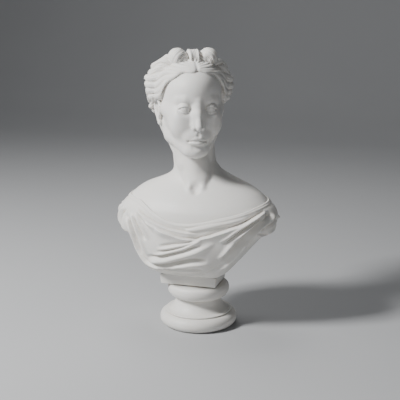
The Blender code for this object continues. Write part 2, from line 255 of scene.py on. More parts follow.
bpy.ops.object.select_all(action="DESELECT")
bpy.ops.mesh.primitive_cube_add(size=1, location=(-0.007, -0.002, 0.067))
block = bpy.context.object
block.name = "plinth_block_casting"
block.scale = (0.079, 0.053, 0.0134)
bpy.ops.object.transform_apply(location=True, rotation=True, scale=True)
bpy.ops.object.mode_set(mode="EDIT")
bpy.ops.mesh.select_all(action="DESELECT")
bpy.ops.object.mode_set(mode="OBJECT")
for vert in block.data.vertices:
    vert.select = vert.co.z < 0.065
bpy.ops.object.mode_set(mode="EDIT")
bpy.ops.transform.resize(value=(0.975, 0.962, 1), center_override=(-0.007, -0.002, 0.0603))
bpy.ops.object.mode_set(mode="OBJECT")
edge = block.modifiers.new("softened_arrises", "BEVEL")
edge.width = 0.0007
edge.segments = 4
bpy.ops.object.modifier_apply(modifier="softened_arrises")
bpy.ops.mesh.primitive_cylinder_add(vertices=64, radius=0.0043, depth=0.03,
                                    location=(0, 0, 0.067))
drill = bpy.context.object
bpy.ops.object.select_all(action="DESELECT")
bpy.context.view_layer.objects.active = block
block.select_set(True)
hole = block.modifiers.new("rod_hole", "BOOLEAN")
hole.object = drill
hole.solver = "EXACT"
bpy.ops.object.modifier_apply(modifier="rod_hole")
bpy.data.objects.remove(drill)
bpy.ops.object.shade_smooth_by_angle(angle=math.radians(35))
block.data.materials.append(bisque("block_porcelain", (0.80, 0.785, 0.75), (0.77, 0.745, 0.70),
                                   0.52))
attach(block, "bust")
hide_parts("plinth_block")


# ---- drapery -----------------------------------------------------------------------------
# The gown, wrapped round the breast and over both arms: one hollow casting with a wall of
# about 6.5 mm, open at the neckline.  The body form is swept round level sections, and the
# folds are laid on it as ridges, grooves and overlapping edges along drawn lines.

def facing(points, faces):
    """Outward directions at the points of a mesh."""
    across = points[faces[:, 2]] - points[faces[:, 0]]
    along = points[faces[:, 3 % faces.shape[1]]] - points[faces[:, 1]]
    if faces.shape[1] == 3:
        along = points[faces[:, 2]] - points[faces[:, 1]]
    flat = np.cross(across, along)
    total = np.zeros_like(points)
    for k in range(faces.shape[1]):
        for axis in range(3):
            total[:, axis] += np.bincount(faces[:, k], flat[:, axis], len(points))
    return total / (np.linalg.norm(total, axis=1, keepdims=True) + 1e-12)


def drawn_line(knots, step=0.8):
    """A smooth line through a few points, as close points."""
    knots = np.array(knots, float)
    ends = np.vstack([2 * knots[0] - knots[1], knots, 2 * knots[-1] - knots[-2]])
    line = []
    for i in range(1, len(ends) - 2):
        before, a, b, after = ends[i - 1:i + 3]
        count = max(2, int(np.linalg.norm(b - a) / step))
        t = (np.arange(count) / count)[:, None]
        line.append(0.5 * (2 * a + (b - before) * t + (2 * before - 5 * a + 4 * b - after) * t * t
                           + (3 * a - before - 3 * b + after) * t ** 3))
    return np.vstack(line + [knots[-1:]])


def new_object(name, points, faces, metres=0.001):
    """Put a mesh of points and equal-sided faces into the scene, shaded smooth."""
    mesh = bpy.data.meshes.new(name)
    sides = faces.shape[1]
    mesh.vertices.add(len(points))
    mesh.vertices.foreach_set("co", (points * metres).astype(np.float32).ravel())
    mesh.loops.add(faces.size)
    mesh.loops.foreach_set("vertex_index", faces.astype(np.int32).ravel())
    mesh.polygons.add(len(faces))
    mesh.polygons.foreach_set("loop_start", np.arange(0, faces.size, sides, dtype=np.int32))
    mesh.update(calc_edges=True)
    mesh.validate()
    mesh.shade_smooth()
    obj = bpy.data.objects.new(name, mesh)
    bpy.context.scene.collection.objects.link(obj)
    return obj


# Level sections: height, half width, half depth, middle x, middle y, squareness (mm).
BODY = np.array([
    (74, 40.6, 27.6, -6.0, -2.0, 7.0),
    (78, 48.6, 31.0, -7.0, -4.5, 4.6),
    (82, 56.2, 35.5, -9.3, -7.0, 3.4),
    (87, 61.8, 40.0, -10.2, -9.0, 2.7),
    (94, 67.7, 45.0, -10.1, -9.8, 2.4),
    (104, 75.4, 49.5, -8.6, -9.0, 2.3),
    (114, 81.5, 53.0, -6.6, -8.0, 2.3),
    (124, 88.3, 55.0, -4.8, -7.0, 2.3),
    (131, 93.1, 55.9, -4.6, -5.6, 2.3),
    (138, 98.8, 56.6, -4.7, -5.0, 2.3),
    (148, 103.4, 57.0, -3.6, -4.4, 2.3),
    (160, 105.4, 56.8, -1.8, -3.4, 2.3),
    (170, 103.0, 55.2, 0.0, -2.0, 2.3),
    (178, 98.5, 53.2, -0.5, 0.8, 2.25),
    (188, 88.5, 48.0, -1.5, 4.0, 2.2),
    (198, 73.0, 42.0, -2.5, 6.0, 2.2),
])
HEM = 74.0
# Heights of the neckline round the body; 0 degrees is the front and 90 the bust's left.
NECKLINE_ANGLES = [-180, -150, -120, -95, -75, -58, -43, -32, -25, -17, -9, -3, 4, 12, 26, 40,
                   58, 75, 95, 120, 150, 180]
NECKLINE_HEIGHTS = [183, 182.5, 182, 181, 180, 179.5, 178, 172, 167, 161, 155.5, 153.5, 154,
                    157, 163.5, 168.5, 174.5, 177.5, 178.5, 180, 182, 183]
RIM = 2.6
COLUMNS = 560
ROWS = 148


def body_point(angle, height):
    """Places on the plain body form at some angles (degrees) and heights."""
    wide, deep, mid_x, mid_y, square = [np.interp(height, BODY[:, 0], BODY[:, k])
                                        for k in range(1, 6)]
    s, c = np.sin(np.radians(angle)), np.cos(np.radians(angle))
    x = mid_x + wide * np.sign(s) * np.abs(s) ** (2 / square)
    y = mid_y - deep * np.sign(c) * np.abs(c) ** (2 / square)
    return np.stack([x, y, height + 0 * x], axis=-1)


def round_bell(width):
    bell = np.hanning(2 * width + 1)
    return bell / bell.sum()


def softened(values, width):
    """Smooth a closed ring of values."""
    ring = np.concatenate([values[-width:], values, values[:width]])
    return np.convolve(ring, round_bell(width), mode="valid")


heights_fine = np.arange(HEM, 198, 0.25)
slope = np.gradient(np.interp(heights_fine, BODY[:, 0], 0.7 * BODY[:, 1] + 0.3 * BODY[:, 2]),
                    heights_fine)
way_up = np.concatenate([[0], np.cumsum(np.sqrt(1 + slope[1:] ** 2) * 0.25)])
angles = -180 + 360 * np.arange(COLUMNS) / COLUMNS
rim_height = softened(np.interp(angles, NECKLINE_ANGLES, NECKLINE_HEIGHTS), 7)
rim_way = np.interp(rim_height, heights_fine, way_up)
share = np.linspace(1, 0, ROWS)
way = share[:, None] * rim_way[None, :]
gown_height = np.interp(way, way_up, heights_fine)
gown_angle = np.broadcast_to(angles, gown_height.shape)
gown = body_point(gown_angle, gown_height)


def grid_faces(rows, columns):
    """Four-sided faces of a closed band of rows, facing out when rows run downwards."""
    r = np.arange(rows - 1)[:, None] * columns
    c = np.arange(columns)[None, :]
    after = (c + 1) % columns
    return np.stack([r + c, r + columns + c, r + columns + after, r + after], -1).reshape(-1, 4)


gown_faces = grid_faces(ROWS, COLUMNS)
blur = 9
for _ in range(2):
    inner = np.pad(gown, ((blur, blur), (0, 0), (0, 0)), mode="reflect", reflect_type="odd")
    for axis in range(3):
        for column in range(COLUMNS):
            gown[:, column, axis] = np.convolve(inner[:, column, axis], round_bell(blur), "valid")
    gown[-1] = body_point(angles, np.full(COLUMNS, HEM))
gown_out = facing(gown.reshape(-1, 3), gown_faces).reshape(gown.shape)


def signed_gap(points, directions, line):
    """Distance of points to a drawn line, the side they lie on and how far along it."""
    best = np.full(len(points), 1e9)
    side = np.zeros(len(points))
    along = np.zeros(len(points))
    steps = np.diff(line, axis=0)
    lengths = np.linalg.norm(steps, axis=1)
    run = np.concatenate([[0], np.cumsum(lengths)])
    for k, (start, step, length) in enumerate(zip(line[:-1], steps, lengths)):
        gap = points - start
        t = np.clip(gap @ step / (length * length + 1e-9), 0, 1)
        gap = gap - t[:, None] * step
        far = np.einsum("ij,ij->i", gap, gap)
        nearer = far < best
        best[nearer] = far[nearer]
        cross = np.cross(np.broadcast_to(step, gap[nearer].shape), gap[nearer])
        side[nearer] = np.einsum("ij,ij->i", cross, directions[nearer])
        along[nearer] = run[k] + t[nearer] * length
    return np.sqrt(best), np.sign(side), along, run[-1]


gown_lift = np.zeros(gown.shape[:2])

# The stumps of the upper arms stand out at the sides and are cut off level below.
for middle, reach, stands, hem_height, slope in ((96, 30, 7.5, 138.0, 0.03),
                                                 (-86, 28, 4.0, 134.0, -0.03)):
    off = np.abs(gown_angle - middle)
    off = np.minimum(off, 360 - off) / reach
    arm = np.clip(1 - off * off, 0, 1) ** 1.5
    hem_line = hem_height + slope * (gown_angle - middle)
    cut_end = np.clip((gown_height - hem_line) / 2.4, 0, 1)
    shoulder = np.clip((176 - gown_height) / 24, 0, 1)
    gown_lift += stands * arm * cut_end ** 0.6 * np.sin(shoulder * math.pi / 2)


def fold(kind, width, height, knots, start=12.0, end=12.0, spread=9.0):
    """Lay one fold along knots of (angle, height); start and end are its tapers in mm."""
    knots = np.array(knots, float)
    drawn = drawn_line(np.column_stack([knots * (1.8, 1.0), 0 * knots[:, 0]]), 2.0)
    line = body_point(drawn[:, 0] / 1.8, drawn[:, 1])
    turned = (gown_angle - knots[:, 0].mean() + 180) % 360 - 180
    reach = max(width, spread if kind == "lap" else 0) * 3 + 2
    low, high = line.min(axis=0) - reach, line.max(axis=0) + reach
    near = np.all((gown > low) & (gown < high), axis=-1) & (np.abs(turned) < 120)
    gap, side, along, total = signed_gap(gown[near], gown_out[near], line)
    ends = np.clip(along / start, 0, 1) * np.clip((total - along) / end, 0, 1)
    strength = 1.25 * height * np.sin(ends * math.pi / 2)
    if kind == "ridge":
        lift = np.exp(-(gap / width) ** 2)
    elif kind == "groove":
        lift = -np.exp(-(gap / width) ** 2)
    else:
        raised = np.where(side > 0, np.exp(-gap / spread), np.exp(-(gap / width) ** 2))
        shadow = np.where(side > 0, 0, -0.35 * np.exp(-((gap - 1.6 * width) / (1.5 * width)) ** 2))
        lift = raised + shadow
    gown_lift[near] += strength * lift


# The rolled edge of the neckline and the turned band of cloth below it.
rim_line = [(a, np.interp(a, angles, rim_height) - 1.6) for a in range(-176, 178, 8)]
fold("ridge", 1.3, 0.7, rim_line, 1, 1)
gown_lift -= 0.7 * np.exp(-((rim_height[None, :] - gown_height) / 5.0) ** 2)

# The two broad bands across the breast, each one lapping the cloth below it.
fold("lap", 1.2, 2.7, [(10, 142.5), (5.5, 143), (1, 144), (-2.5, 145), (-7.5, 146.5),
                       (-12, 149), (-17.5, 152), (-22, 155), (-27.5, 158.5), (-33.5, 162),
                       (-41, 165.5)], 20, 12, 6)
fold("lap", 1.2, 3.7, [(71, 170), (63, 167), (56.5, 164), (50.5, 160.5), (45, 156.5),
                       (39.5, 153), (34.5, 150.5), (30, 147.5), (24.5, 144), (19.5, 140.5),
                       (14, 137.5), (10, 135), (5.5, 135), (1.5, 135.5), (-1.5, 137),
                       (-5.5, 139.5), (-10, 142), (-14, 144), (-18, 146.5)], 10, 14, 8)
fold("lap", 0.9, 1.8, [(26, 159), (19, 156.5), (12, 153.5), (7.5, 151), (4.5, 149),
                       (1.5, 147.5)], 22, 6, 4)
fold("ridge", 2.6, 1.6, [(1.5, 146), (7.5, 148), (16, 152), (26.5, 156.5), (36, 160),
                         (50, 164.5)], 14, 24)
fold("groove", 3.4, 1.2, [(16.5, 147), (27, 152.5), (36.5, 157), (48, 161), (59, 166)], 20, 16)
fold("ridge", 1.8, 1.3, [(-28.5, 153), (-20.5, 148), (-12, 144), (-5.5, 141.5), (0.5, 138.5),
                         (7, 137.5)], 10, 20)

# Long swags that hang from the right shoulder and rise towards the left one.
fold("groove", 2.2, 2.2, [(-18, 121.5), (-9.5, 125), (-2.5, 128), (2, 130), (7, 133.5),
                          (12.5, 137)], 12, 8)
fold("ridge", 2.4, 1.8, [(-21, 117.5), (-12, 120), (-4.5, 123.5), (1, 126.5), (6.5, 130.5),
                         (13.5, 135.5)], 12, 14)
fold("groove", 1.6, 1.8, [(-21.5, 113.5), (-12, 116.5), (-4.5, 120), (1, 124.5), (5.5, 128.5),
                          (10, 132.5)], 12, 12)
fold("ridge", 2.2, 2.2, [(-27, 108.5), (-16.5, 111), (-6.5, 116), (0.5, 121), (6.5, 127),
                         (13.5, 133)], 14, 16)
fold("groove", 2.6, 3, [(-36, 103.5), (-26, 105), (-16.5, 107), (-8.5, 111), (-2.5, 114.5),
                        (3, 119.5), (8, 124.5), (14, 129.5)], 14, 18)
fold("ridge", 3.6, 2.6, [(-37.5, 96), (-24, 98.5), (-13, 101.5), (-3, 107), (3.5, 112),
                         (11, 117.5), (18, 124.5), (25, 132)], 12, 30)
fold("groove", 3.4, 3.8, [(-24, 89), (-15, 92), (-7.5, 95.5), (-1, 99.5), (4.5, 103),
                          (11, 105.5), (18, 106.5), (25.5, 107)], 16, 22)
fold("ridge", 3, 2.6, [(-14, 89.5), (-4, 93), (2.5, 96), (11.5, 99), (22, 100), (31.5, 101.5)],
      16, 26)
fold("groove", 2.6, 2.2, [(-16, 88), (-7, 87.5), (0, 87.5), (6.5, 88.5), (15, 90.5),
                          (24.5, 92.5)], 14, 16)
fold("ridge", 2.6, 1.7, [(-16.5, 79.5), (-4, 78), (0, 79), (7, 81.5), (25, 86.5)], 16, 18)
fold("groove", 3, 2.2, [(8, 77.5), (24.5, 83.5), (36, 89), (44, 95), (47.5, 102.5)], 8, 22)

# Folds that drop from the right shoulder and turn in under the swags.
fold("lap", 1.6, 3.6, [(-8, 91.5), (-19, 90), (-30.5, 91), (-42.5, 95), (-48, 103),
                       (-52, 112.5), (-51.5, 124), (-48, 135.5), (-48.5, 146.5), (-50, 155.5)],
      16, 10, 8)
fold("ridge", 2.8, 2.4, [(-48, 161), (-42.5, 152), (-39.5, 142.5), (-39.5, 132.5),
                         (-39, 122.5), (-37.5, 112.5), (-35.5, 104)], 12, 20)
fold("groove", 1.8, 3, [(-43.5, 157.5), (-40, 151), (-37, 144), (-35, 138), (-34.5, 131.5),
                        (-32, 126.5)], 10, 10)
fold("groove", 1.8, 2.6, [(-47, 151), (-44.5, 141.5), (-46, 132), (-47, 122.5), (-48, 113.5),
                          (-48, 104.5)], 12, 14)
fold("ridge", 2.2, 2, [(-42.5, 162), (-36, 155), (-31.5, 146), (-28.5, 137.5), (-28, 128.5)],
      10, 20)
fold("groove", 2, 1.8, [(-39.5, 162.5), (-32.5, 156), (-27.5, 149.5), (-24.5, 144.5),
                        (-22.5, 136.5)], 10, 18)
fold("ridge", 3.6, 1.5, [(-32.5, 157), (-25, 150), (-18.5, 144), (-10, 139), (-3.5, 135.5)],
      12, 22)
fold("groove", 2, 1.8, [(-54, 159.5), (-52, 151.5), (-50, 144.5), (-49.5, 137)], 8, 10)

# The fan of folds gathered on the left shoulder.
fold("ridge", 1.8, 1.8, [(28.5, 132), (34, 140), (38.5, 147.5), (45.5, 154.5), (53, 160.5),
                         (64, 166)], 18, 10)
fold("groove", 1.8, 2.4, [(33, 129), (36, 133.5), (39, 139), (43.5, 147), (49.5, 153.5),
                          (56.5, 159.5), (66, 165)], 14, 10)
fold("ridge", 1.8, 1.8, [(37.5, 129.5), (41.5, 138), (46.5, 145.5), (52.5, 152.5), (59.5, 159),
                         (70, 166)], 16, 10)
fold("groove", 1.5, 1.6, [(42.5, 127), (45.5, 136.5), (49, 145.5), (54.5, 152.5), (61, 159.5)],
      14, 10)
fold("ridge", 3, 2.8, [(36.5, 107.5), (39, 114.5), (40.5, 125), (44, 134.5), (47.5, 143.5),
                       (53, 151), (60.5, 159), (73.5, 166.5)], 18, 12)
fold("groove", 3, 4.6, [(41.5, 105), (44.5, 111.5), (46.5, 119.5), (49, 129.5), (51, 139),
                        (54, 147), (59, 153.5), (65.5, 160), (79.5, 166.5)], 20, 12)
fold("ridge", 3.4, 4.2, [(45.5, 88.5), (51, 95), (54, 103.5), (56, 113), (57, 123.5),
                         (59, 133), (60.5, 142.5), (64.5, 149.5), (72, 156.5), (87, 163.5)],
      20, 12)
fold("groove", 1.8, 2.4, [(68.5, 118), (68, 128), (67.5, 139), (69.5, 147.5), (77, 154.5),
                          (91.5, 159)], 14, 10)
fold("groove", 1.8, 2.4, [(72, 143), (76, 149), (86.5, 153.5), (95.5, 157.5)], 6, 10)
fold("ridge", 1.8, 2, [(82, 140.5), (95, 143), (96, 151)], 6, 8)

# Short gathers that wrap the right arm below the neckline.
for turn, strength in ((0, 2.6), (11, 2.2), (22, 2.4), (34, 2.0)):
    run = [(-57 - turn, 164 + turn / 10), (-64 - 1.2 * turn, 156), (-68 - 1.3 * turn, 147),
           (-69 - 1.3 * turn, 138)]
    fold("groove", 1.7, strength, run, 8, 8)
    fold("ridge", 2.0, strength * 0.8, [(angle - 6, height + 1) for angle, height in run], 8, 10)

# The hems round the stumps of the arms, and the turned-out corner of the left one.
fold("lap", 1.4, 2.6, [(-122, 136.5), (-106, 135), (-94, 134), (-82, 133.5), (-70, 133),
                       (-60, 132.5)], 12, 10, 8)
fold("lap", 1.4, 3.0, [(128, 140), (112, 139), (98, 138.5), (86, 138), (76, 138), (66, 139)],
     10, 12, 8)
fold("ridge", 1.6, 2.6, [(95, 160), (97, 157)], 1.5, 1.5)

# The back, drawn down from the left shoulder in slack folds that die out to the right.
for knots, strength in (
        ([(104, 170), (124, 160), (148, 150), (176, 143), (206, 141), (236, 146)], 2.3),
        ([(108, 160), (128, 146), (152, 133), (180, 125), (208, 123), (232, 129)], 2.6),
        ([(114, 146), (132, 130), (154, 116), (178, 108), (200, 106)], 2.2),
        ([(122, 174), (146, 167), (174, 160), (204, 158), (232, 163), (252, 171)], 1.6),
        ([(254, 152), (238, 136), (222, 117), (206, 100)], 1.8),
        ([(262, 138), (248, 121), (234, 104)], 1.6)):
    fold("ridge", 4.6, strength, knots, 34, 34)
    below = [(angle, height - 6.5 + 0.02 * (angle - 180)) for angle, height in knots]
    fold("groove", 3.0, strength * 0.8, below, 38, 38)
fold("lap", 1.4, 2.2, [(102, 176), (125, 171), (150, 167.5), (180, 166), (210, 167.5),
                       (238, 172), (258, 177)], 20, 20, 7)
for knots in ([(101, 166), (106, 152), (108, 138), (112, 120)],
              [(258, 168), (252, 150), (250, 134), (242, 116)]):
    fold("groove", 2.8, 1.6, knots, 18, 26)

fade = np.clip((gown_height - HEM) / 5.0, 0, 1)
gown_shape = gown + (gown_lift * fade)[..., None] * gown_out

# The rolled edge, the inside wall and the floor that rests on the block close the casting.
centre = np.array((-1.0, -1.0, 0.0))
inward = gown_shape[0] * (-1, -1, 0) + centre
inward /= np.linalg.norm(inward, axis=1, keepdims=True)
rolled = [gown_shape[0] + inward * RIM / 2 * (1 - math.cos(a)) + (0, 0, 0.5 * RIM * math.sin(a))
          for a in np.radians((180, 135, 90, 45))]
inner_rows = []
for part in (0.88, 0.7, 0.5, 0.3, 0.12):
    level = HEM + 5 + (rim_height - HEM - 5) * part
    plain = body_point(angles, level)
    middle = np.array((-3.0, -5.0, 0.0))
    shrink = (plain - middle) * (1, 1, 0)
    shrink *= 6.5 / np.linalg.norm(shrink, axis=1, keepdims=True)
    inner_rows.append(plain - shrink + (0, 0, 3.0 * (1 - part)))
hole = body_point(angles, np.full(COLUMNS, HEM)) * (0.72, 0.62, 1) + (-1.4, -0.8, 0)
inner_rows += [hole + (0, 0, 4.5), hole]
layers = np.concatenate([rolled, gown_shape, inner_rows[::-1]])
drapery_points = layers.reshape(-1, 3)
drapery_faces = grid_faces(len(layers), COLUMNS)
last = (len(layers) - 1) * COLUMNS
column = np.arange(COLUMNS)
after = (column + 1) % COLUMNS
seam = np.stack([last + column, column, after, last + after], -1)
drapery_faces = np.concatenate([drapery_faces, seam])
drapery = new_object("drapery_casting", drapery_points, drapery_faces)
drapery.data.materials.append(bisque("drapery_porcelain", (0.80, 0.785, 0.75),
                                     (0.775, 0.75, 0.705), 0.55))
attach(drapery, "bust")
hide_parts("drapery")


# ---- head, neck, shoulders and breast ----------------------------------------------------
# One hollow slip casting in white bisque, pressed from a clay model and let into the
# drapery at the neckline.  It is modelled in millimetres: forms are added, carved and
# blended in a block of clay, then finer lines are pressed in with a tool.

class Clay:
    """A block of clay, held as signed distances to its surface on a grid of cells.

    The cells are small (grain) between fine_low and fine_high, and larger outside.
    """

    def __init__(self, low, high, grain, fine_low=None, fine_high=None, coarse=1.2):
        self.grain = grain
        self.ticks = []
        for k in range(3):
            first = low[k] if fine_low is None else fine_low[k]
            last = high[k] if fine_high is None else fine_high[k]
            close = np.arange(first, last + grain, grain)
            before = np.arange(first, low[k] - coarse, -coarse)[:0:-1]
            after = np.arange(close[-1], high[k] + coarse, coarse)[1:]
            self.ticks.append(np.concatenate([before, close, after]))
        self.depth = np.full([len(ticks) for ticks in self.ticks], 9.0, np.float32)

    def window(self, centre, reach):
        """The cells within reach of a point, and the places of those cells."""
        part = []
        for ticks, middle in zip(self.ticks, centre):
            first, last = np.searchsorted(ticks, (middle - reach, middle + reach))
            part.append(slice(int(first), int(last)))
        lines = [ticks[span] for ticks, span in zip(self.ticks, part)]
        x, y, z = np.meshgrid(*lines, indexing="ij", sparse=True)
        return tuple(part), x, y, z

    def work(self, centre, reach, form, soft, carve=False):
        """Blend a form, a function of place, into the clay or out of it."""
        part, x, y, z = self.window(centre, reach + soft + 2 * self.grain)
        old = self.depth[part]
        if old.size == 0:
            return
        new = form(x, y, z)
        sign = -1.0 if carve else 1.0
        old = old * sign
        mix = np.clip(0.5 + 0.5 * (old - new) / soft, 0, 1)
        blended = old + (new - old) * mix - soft * mix * (1 - mix)
        self.depth[part] = (blended * sign).astype(np.float32)

    def surface(self):
        """The clay's outer skin as points and four-sided faces, in millimetres."""
        grid = openvdb.FloatGrid(background=3.0)
        grid.copyFromArray(np.clip(self.depth, -3.0, 3.0))
        points, faces = grid.convertToQuads(isovalue=0.0)
        places = [np.interp(points[:, k], np.arange(len(ticks)), ticks)
                  for k, ticks in enumerate(self.ticks)]
        return np.stack(places, axis=-1), faces.astype(np.int64)


class Posed:
    """A frame turned and placed in the clay, such as the head's own."""

    def __init__(self, centre, turn=0.0, lean=0.0, nod=0.0, size=1.0):
        self.centre = np.array(centre, float)
        self.size = size
        matrix = (Matrix.Rotation(math.radians(turn), 3, "Z")
                  @ Matrix.Rotation(math.radians(lean), 3, "Y")
                  @ Matrix.Rotation(math.radians(nod), 3, "X"))
        self.axes = np.array(matrix)

    def place(self, point):
        return self.centre + self.size * self.axes @ np.array(point, float)

    def local(self, x, y, z, about):
        """Coordinates of cells along this frame's axes, measured from a local point."""
        cx, cy, cz = self.place(about)
        dx, dy, dz = x - cx, y - cy, z - cz
        return [(dx * self.axes[0, k] + dy * self.axes[1, k] + dz * self.axes[2, k]) / self.size
                for k in range(3)]


def lump(clay, frame, centre, radii, soft=3.0, carve=False, turn=None):
    """Add or carve an ellipsoid; turn is a further rotation about the frame's own axis."""
    radii = np.array(radii, float) if np.ndim(radii) else np.full(3, float(radii))
    spin = np.eye(3)
    if turn:
        axis, angle = turn
        spin = np.array(Matrix.Rotation(math.radians(angle), 3, axis))

    def form(x, y, z):
        p = frame.local(x, y, z, centre)
        p = [p[0] * spin[0, k] + p[1] * spin[1, k] + p[2] * spin[2, k] for k in range(3)]
        near = np.sqrt(sum((p[k] / radii[k]) ** 2 for k in range(3))) + 1e-6
        steep = np.sqrt(sum((p[k] / radii[k] ** 2) ** 2 for k in range(3))) + 1e-6
        return near * (near - 1) / steep * frame.size
    clay.work(frame.place(centre), radii.max() * frame.size, form, soft * frame.size, carve)


def rod(clay, frame, points, radii, soft=2.0, carve=False):
    """Add or carve a rolled strip of clay along a row of points, thick or thin."""
    radii = list(radii) if np.ndim(radii) else [radii] * len(points)
    for (a, b), (ra, rb) in zip(zip(points, points[1:]), zip(radii, radii[1:])):
        a, b = np.array(a, float), np.array(b, float)
        length = b - a

        def form(x, y, z, a=a, length=length, ra=ra, rb=rb):
            p = frame.local(x, y, z, a)
            t = sum(p[k] * length[k] for k in range(3)) / (length @ length)
            t = np.clip(t, 0, 1)
            gap = np.sqrt(sum((p[k] - t * length[k]) ** 2 for k in range(3)))
            return (gap - (ra + (rb - ra) * t)) * frame.size
        reach = (np.linalg.norm(length) / 2 + max(ra, rb)) * frame.size
        clay.work(frame.place((a + b) / 2), reach, form, soft * frame.size, carve)


def both(row):
    """A row of points on the left of the head and its mirror image on the right."""
    flip = [(-x, y, z) for x, y, z in row]
    return row, flip


WORLD = Posed((0, 0, 0))
HEAD = Posed((-9.0, -6.5, 303.5), turn=30, lean=1.5, nod=1.0, size=1.08)

# Level sections of shoulders and neck: height, half width, half depth, middle x, middle y.
SHOULDERS = np.array([
    (138, 91.0, 53.0, -4.7, -4.2),
    (150, 98.0, 54.0, -3.4, -3.5),
    (160, 101.5, 53.8, -1.6, -3.0),
    (168, 100.5, 53.0, -0.2, -2.0),
    (178, 96.5, 50.0, -0.5, 1.0),
    (188, 86.0, 44.5, -1.0, 4.0),
    (196, 73.5, 39.0, -1.5, 6.5),
    (203, 55.0, 34.0, 0.0, 8.0),
    (209, 42.0, 31.0, -0.5, 8.0),
    (216, 32.5, 28.5, -3.0, 7.0),
    (226, 28.5, 27.0, -6.5, 5.5),
    (240, 28.0, 27.0, -8.0, 4.5),
    (262, 29.0, 29.0, -10.0, 4.0),
    (275, 29.0, 29.0, -11.0, 4.0),
])
SQUARENESS = 2.15
NECK_TOP = 268.0


def smooth_row(heights, values, level):
    """Values between sections, rounded off so that no section shows as a ring."""
    fine = np.arange(heights[0], heights[-1], 0.5)
    curve = np.interp(fine, heights, values)
    ends = np.pad(curve, 12, mode="edge")
    bell = np.hanning(25)
    return np.interp(level, fine, np.convolve(ends, bell / bell.sum(), mode="valid"))


def sectioned(clay, sections, squareness, top):
    """Add a form given by level sections, such as the shoulders, up to a height."""
    x, y, z = clay.ticks
    wide, deep, mid_x, mid_y = [smooth_row(sections[:, 0], sections[:, k], z)
                                for k in range(1, 5)]
    across = np.abs(x[:, None, None] - mid_x) / wide
    along = np.abs(y[None, :, None] - mid_y) / deep
    near = (across ** squareness + along ** squareness) ** (1 / squareness)
    value = ((near - 1) * np.minimum(wide, deep)).astype(np.float32)
    slopes = np.gradient(value, x, y, z)
    steep = np.sqrt(sum(s * s for s in slopes)) + 0.05
    value = value / np.maximum(steep, 0.3)
    value = np.maximum(value, z[None, None, :] - top)
    clay.depth = np.minimum(clay.depth, value.astype(np.float32))


def model_neck(clay):
    """Cords of the neck, pit of the throat and the windpipe between them."""
    pit = np.array((6.0, -32.5, 195.0))
    right_cord = [HEAD.place((-30, 8, -26)), (-16.5, -16.8, 226), (-9.5, -19.8, 211),
                  pit + (-9.0, 2.2, 2.5)]
    left_cord = [HEAD.place((29, 10, -28)), (10.5, -13.6, 228), (13.8, -18.4, 211),
                 pit + (8.5, 2.8, 2.5)]
    rod(clay, WORLD, right_cord, [6, 5.0, 3.6, 2.7], 6)
    rod(clay, WORLD, left_cord, [6, 4.8, 3.6, 2.7], 6)
    throat = HEAD.place((0, -14, -54))
    rod(clay, WORLD, [throat, pit + (-1, 14, 16)], [13, 12], 9)
    lump(clay, WORLD, pit + (0, -3.2, 2), (4.6, 5.0, 7.0), 5, carve=True)


def model_skull(clay):
    """The large masses of the head, on the proportions that drawing books give."""
    lump(clay, HEAD, (0, 6, 12), (36.5, 46, 39), 6)
    lump(clay, HEAD, (0, -10, -5), (35.0, 35.5, 43), 8)
    lump(clay, HEAD, (0, -20, -32), (23, 25.5, 24), 9)
    lump(clay, HEAD, (0, -8, 22), (33, 37.5, 27), 8)
    for jaw in both([(27, 2, -22), (23.5, -5, -36), (8.5, -35, -50)]):
        rod(clay, HEAD, jaw, [7, 6.5, 7], 9)
    lump(clay, HEAD, (0, -37.5, -49.5), (9.5, 9.0, 9.5), 6)
    for cheek in both([(17.5, -30, -18)]):
        lump(clay, HEAD, cheek[0], (14, 13.0, 17), 8)
    for bone in both([(19, -33, -9), (32, -12, -4)]):
        rod(clay, HEAD, bone, [6.0, 5.5], 9)
    lump(clay, HEAD, (0, 22, -10), (34, 32, 26), 10)


EYE = (15.4, -35.6, -0.5)
EYE_RADIUS = 7.6


def lid_form(side, upper):
    """A shell over the eyeball, cut along the curved edge of the lid."""
    centre = (side * EYE[0], EYE[1], EYE[2])
    swell = 1.2 if upper else 0.8

    def form(x, y, z):
        px, py, pz = HEAD.local(x, y, z, centre)
        ball = np.sqrt(px * px + py * py + pz * pz) - (EYE_RADIUS + swell)
        out = px * side
        bend = np.clip(1 - (out / 8.4) ** 2, 0, 1)
        if upper:
            edge = -0.8 + 4.0 * bend ** 0.75 + 0.04 * out
            return np.maximum(ball, edge - pz) * HEAD.size
        edge = -0.8 - 2.6 * bend + 0.04 * out
        return np.maximum(ball, pz - edge) * HEAD.size
    return HEAD.place(centre), form


def model_eyes(clay):
    """Sockets under the brow, blank eyeballs, and lids with a real thickness."""
    for side in (-1, 1):
        lump(clay, HEAD, (side * 15.8, -48.5, 1.2), (11, 8.0, 7.4), 7, carve=True)
        lump(clay, HEAD, (side * 8.4, -47.6, 2.0), (3.4, 4.2, 4.2), 5, carve=True)
        brow = [(side * 7, -39.2, 9.0), (side * 14, -37.4, 11.4), (side * 22, -32.8, 10.0)]
        rod(clay, HEAD, brow, [2.6, 2.6, 2.4], 6)
        lump(clay, HEAD, (side * EYE[0], EYE[1], EYE[2]), EYE_RADIUS, 0.5)
        for upper in (True, False):
            centre, form = lid_form(side, upper)
            clay.work(centre, EYE_RADIUS + 2, form, 0.8)
        crease = [(side * 8.4, -42.6, 3.6), (side * 12, -44.6, 6.8),
                  (side * 16.5, -44.4, 7.6), (side * 22.0, -40.6, 4.8)]
        rod(clay, HEAD, crease, [0.5, 0.8, 0.8, 0.5], 1.3, carve=True)


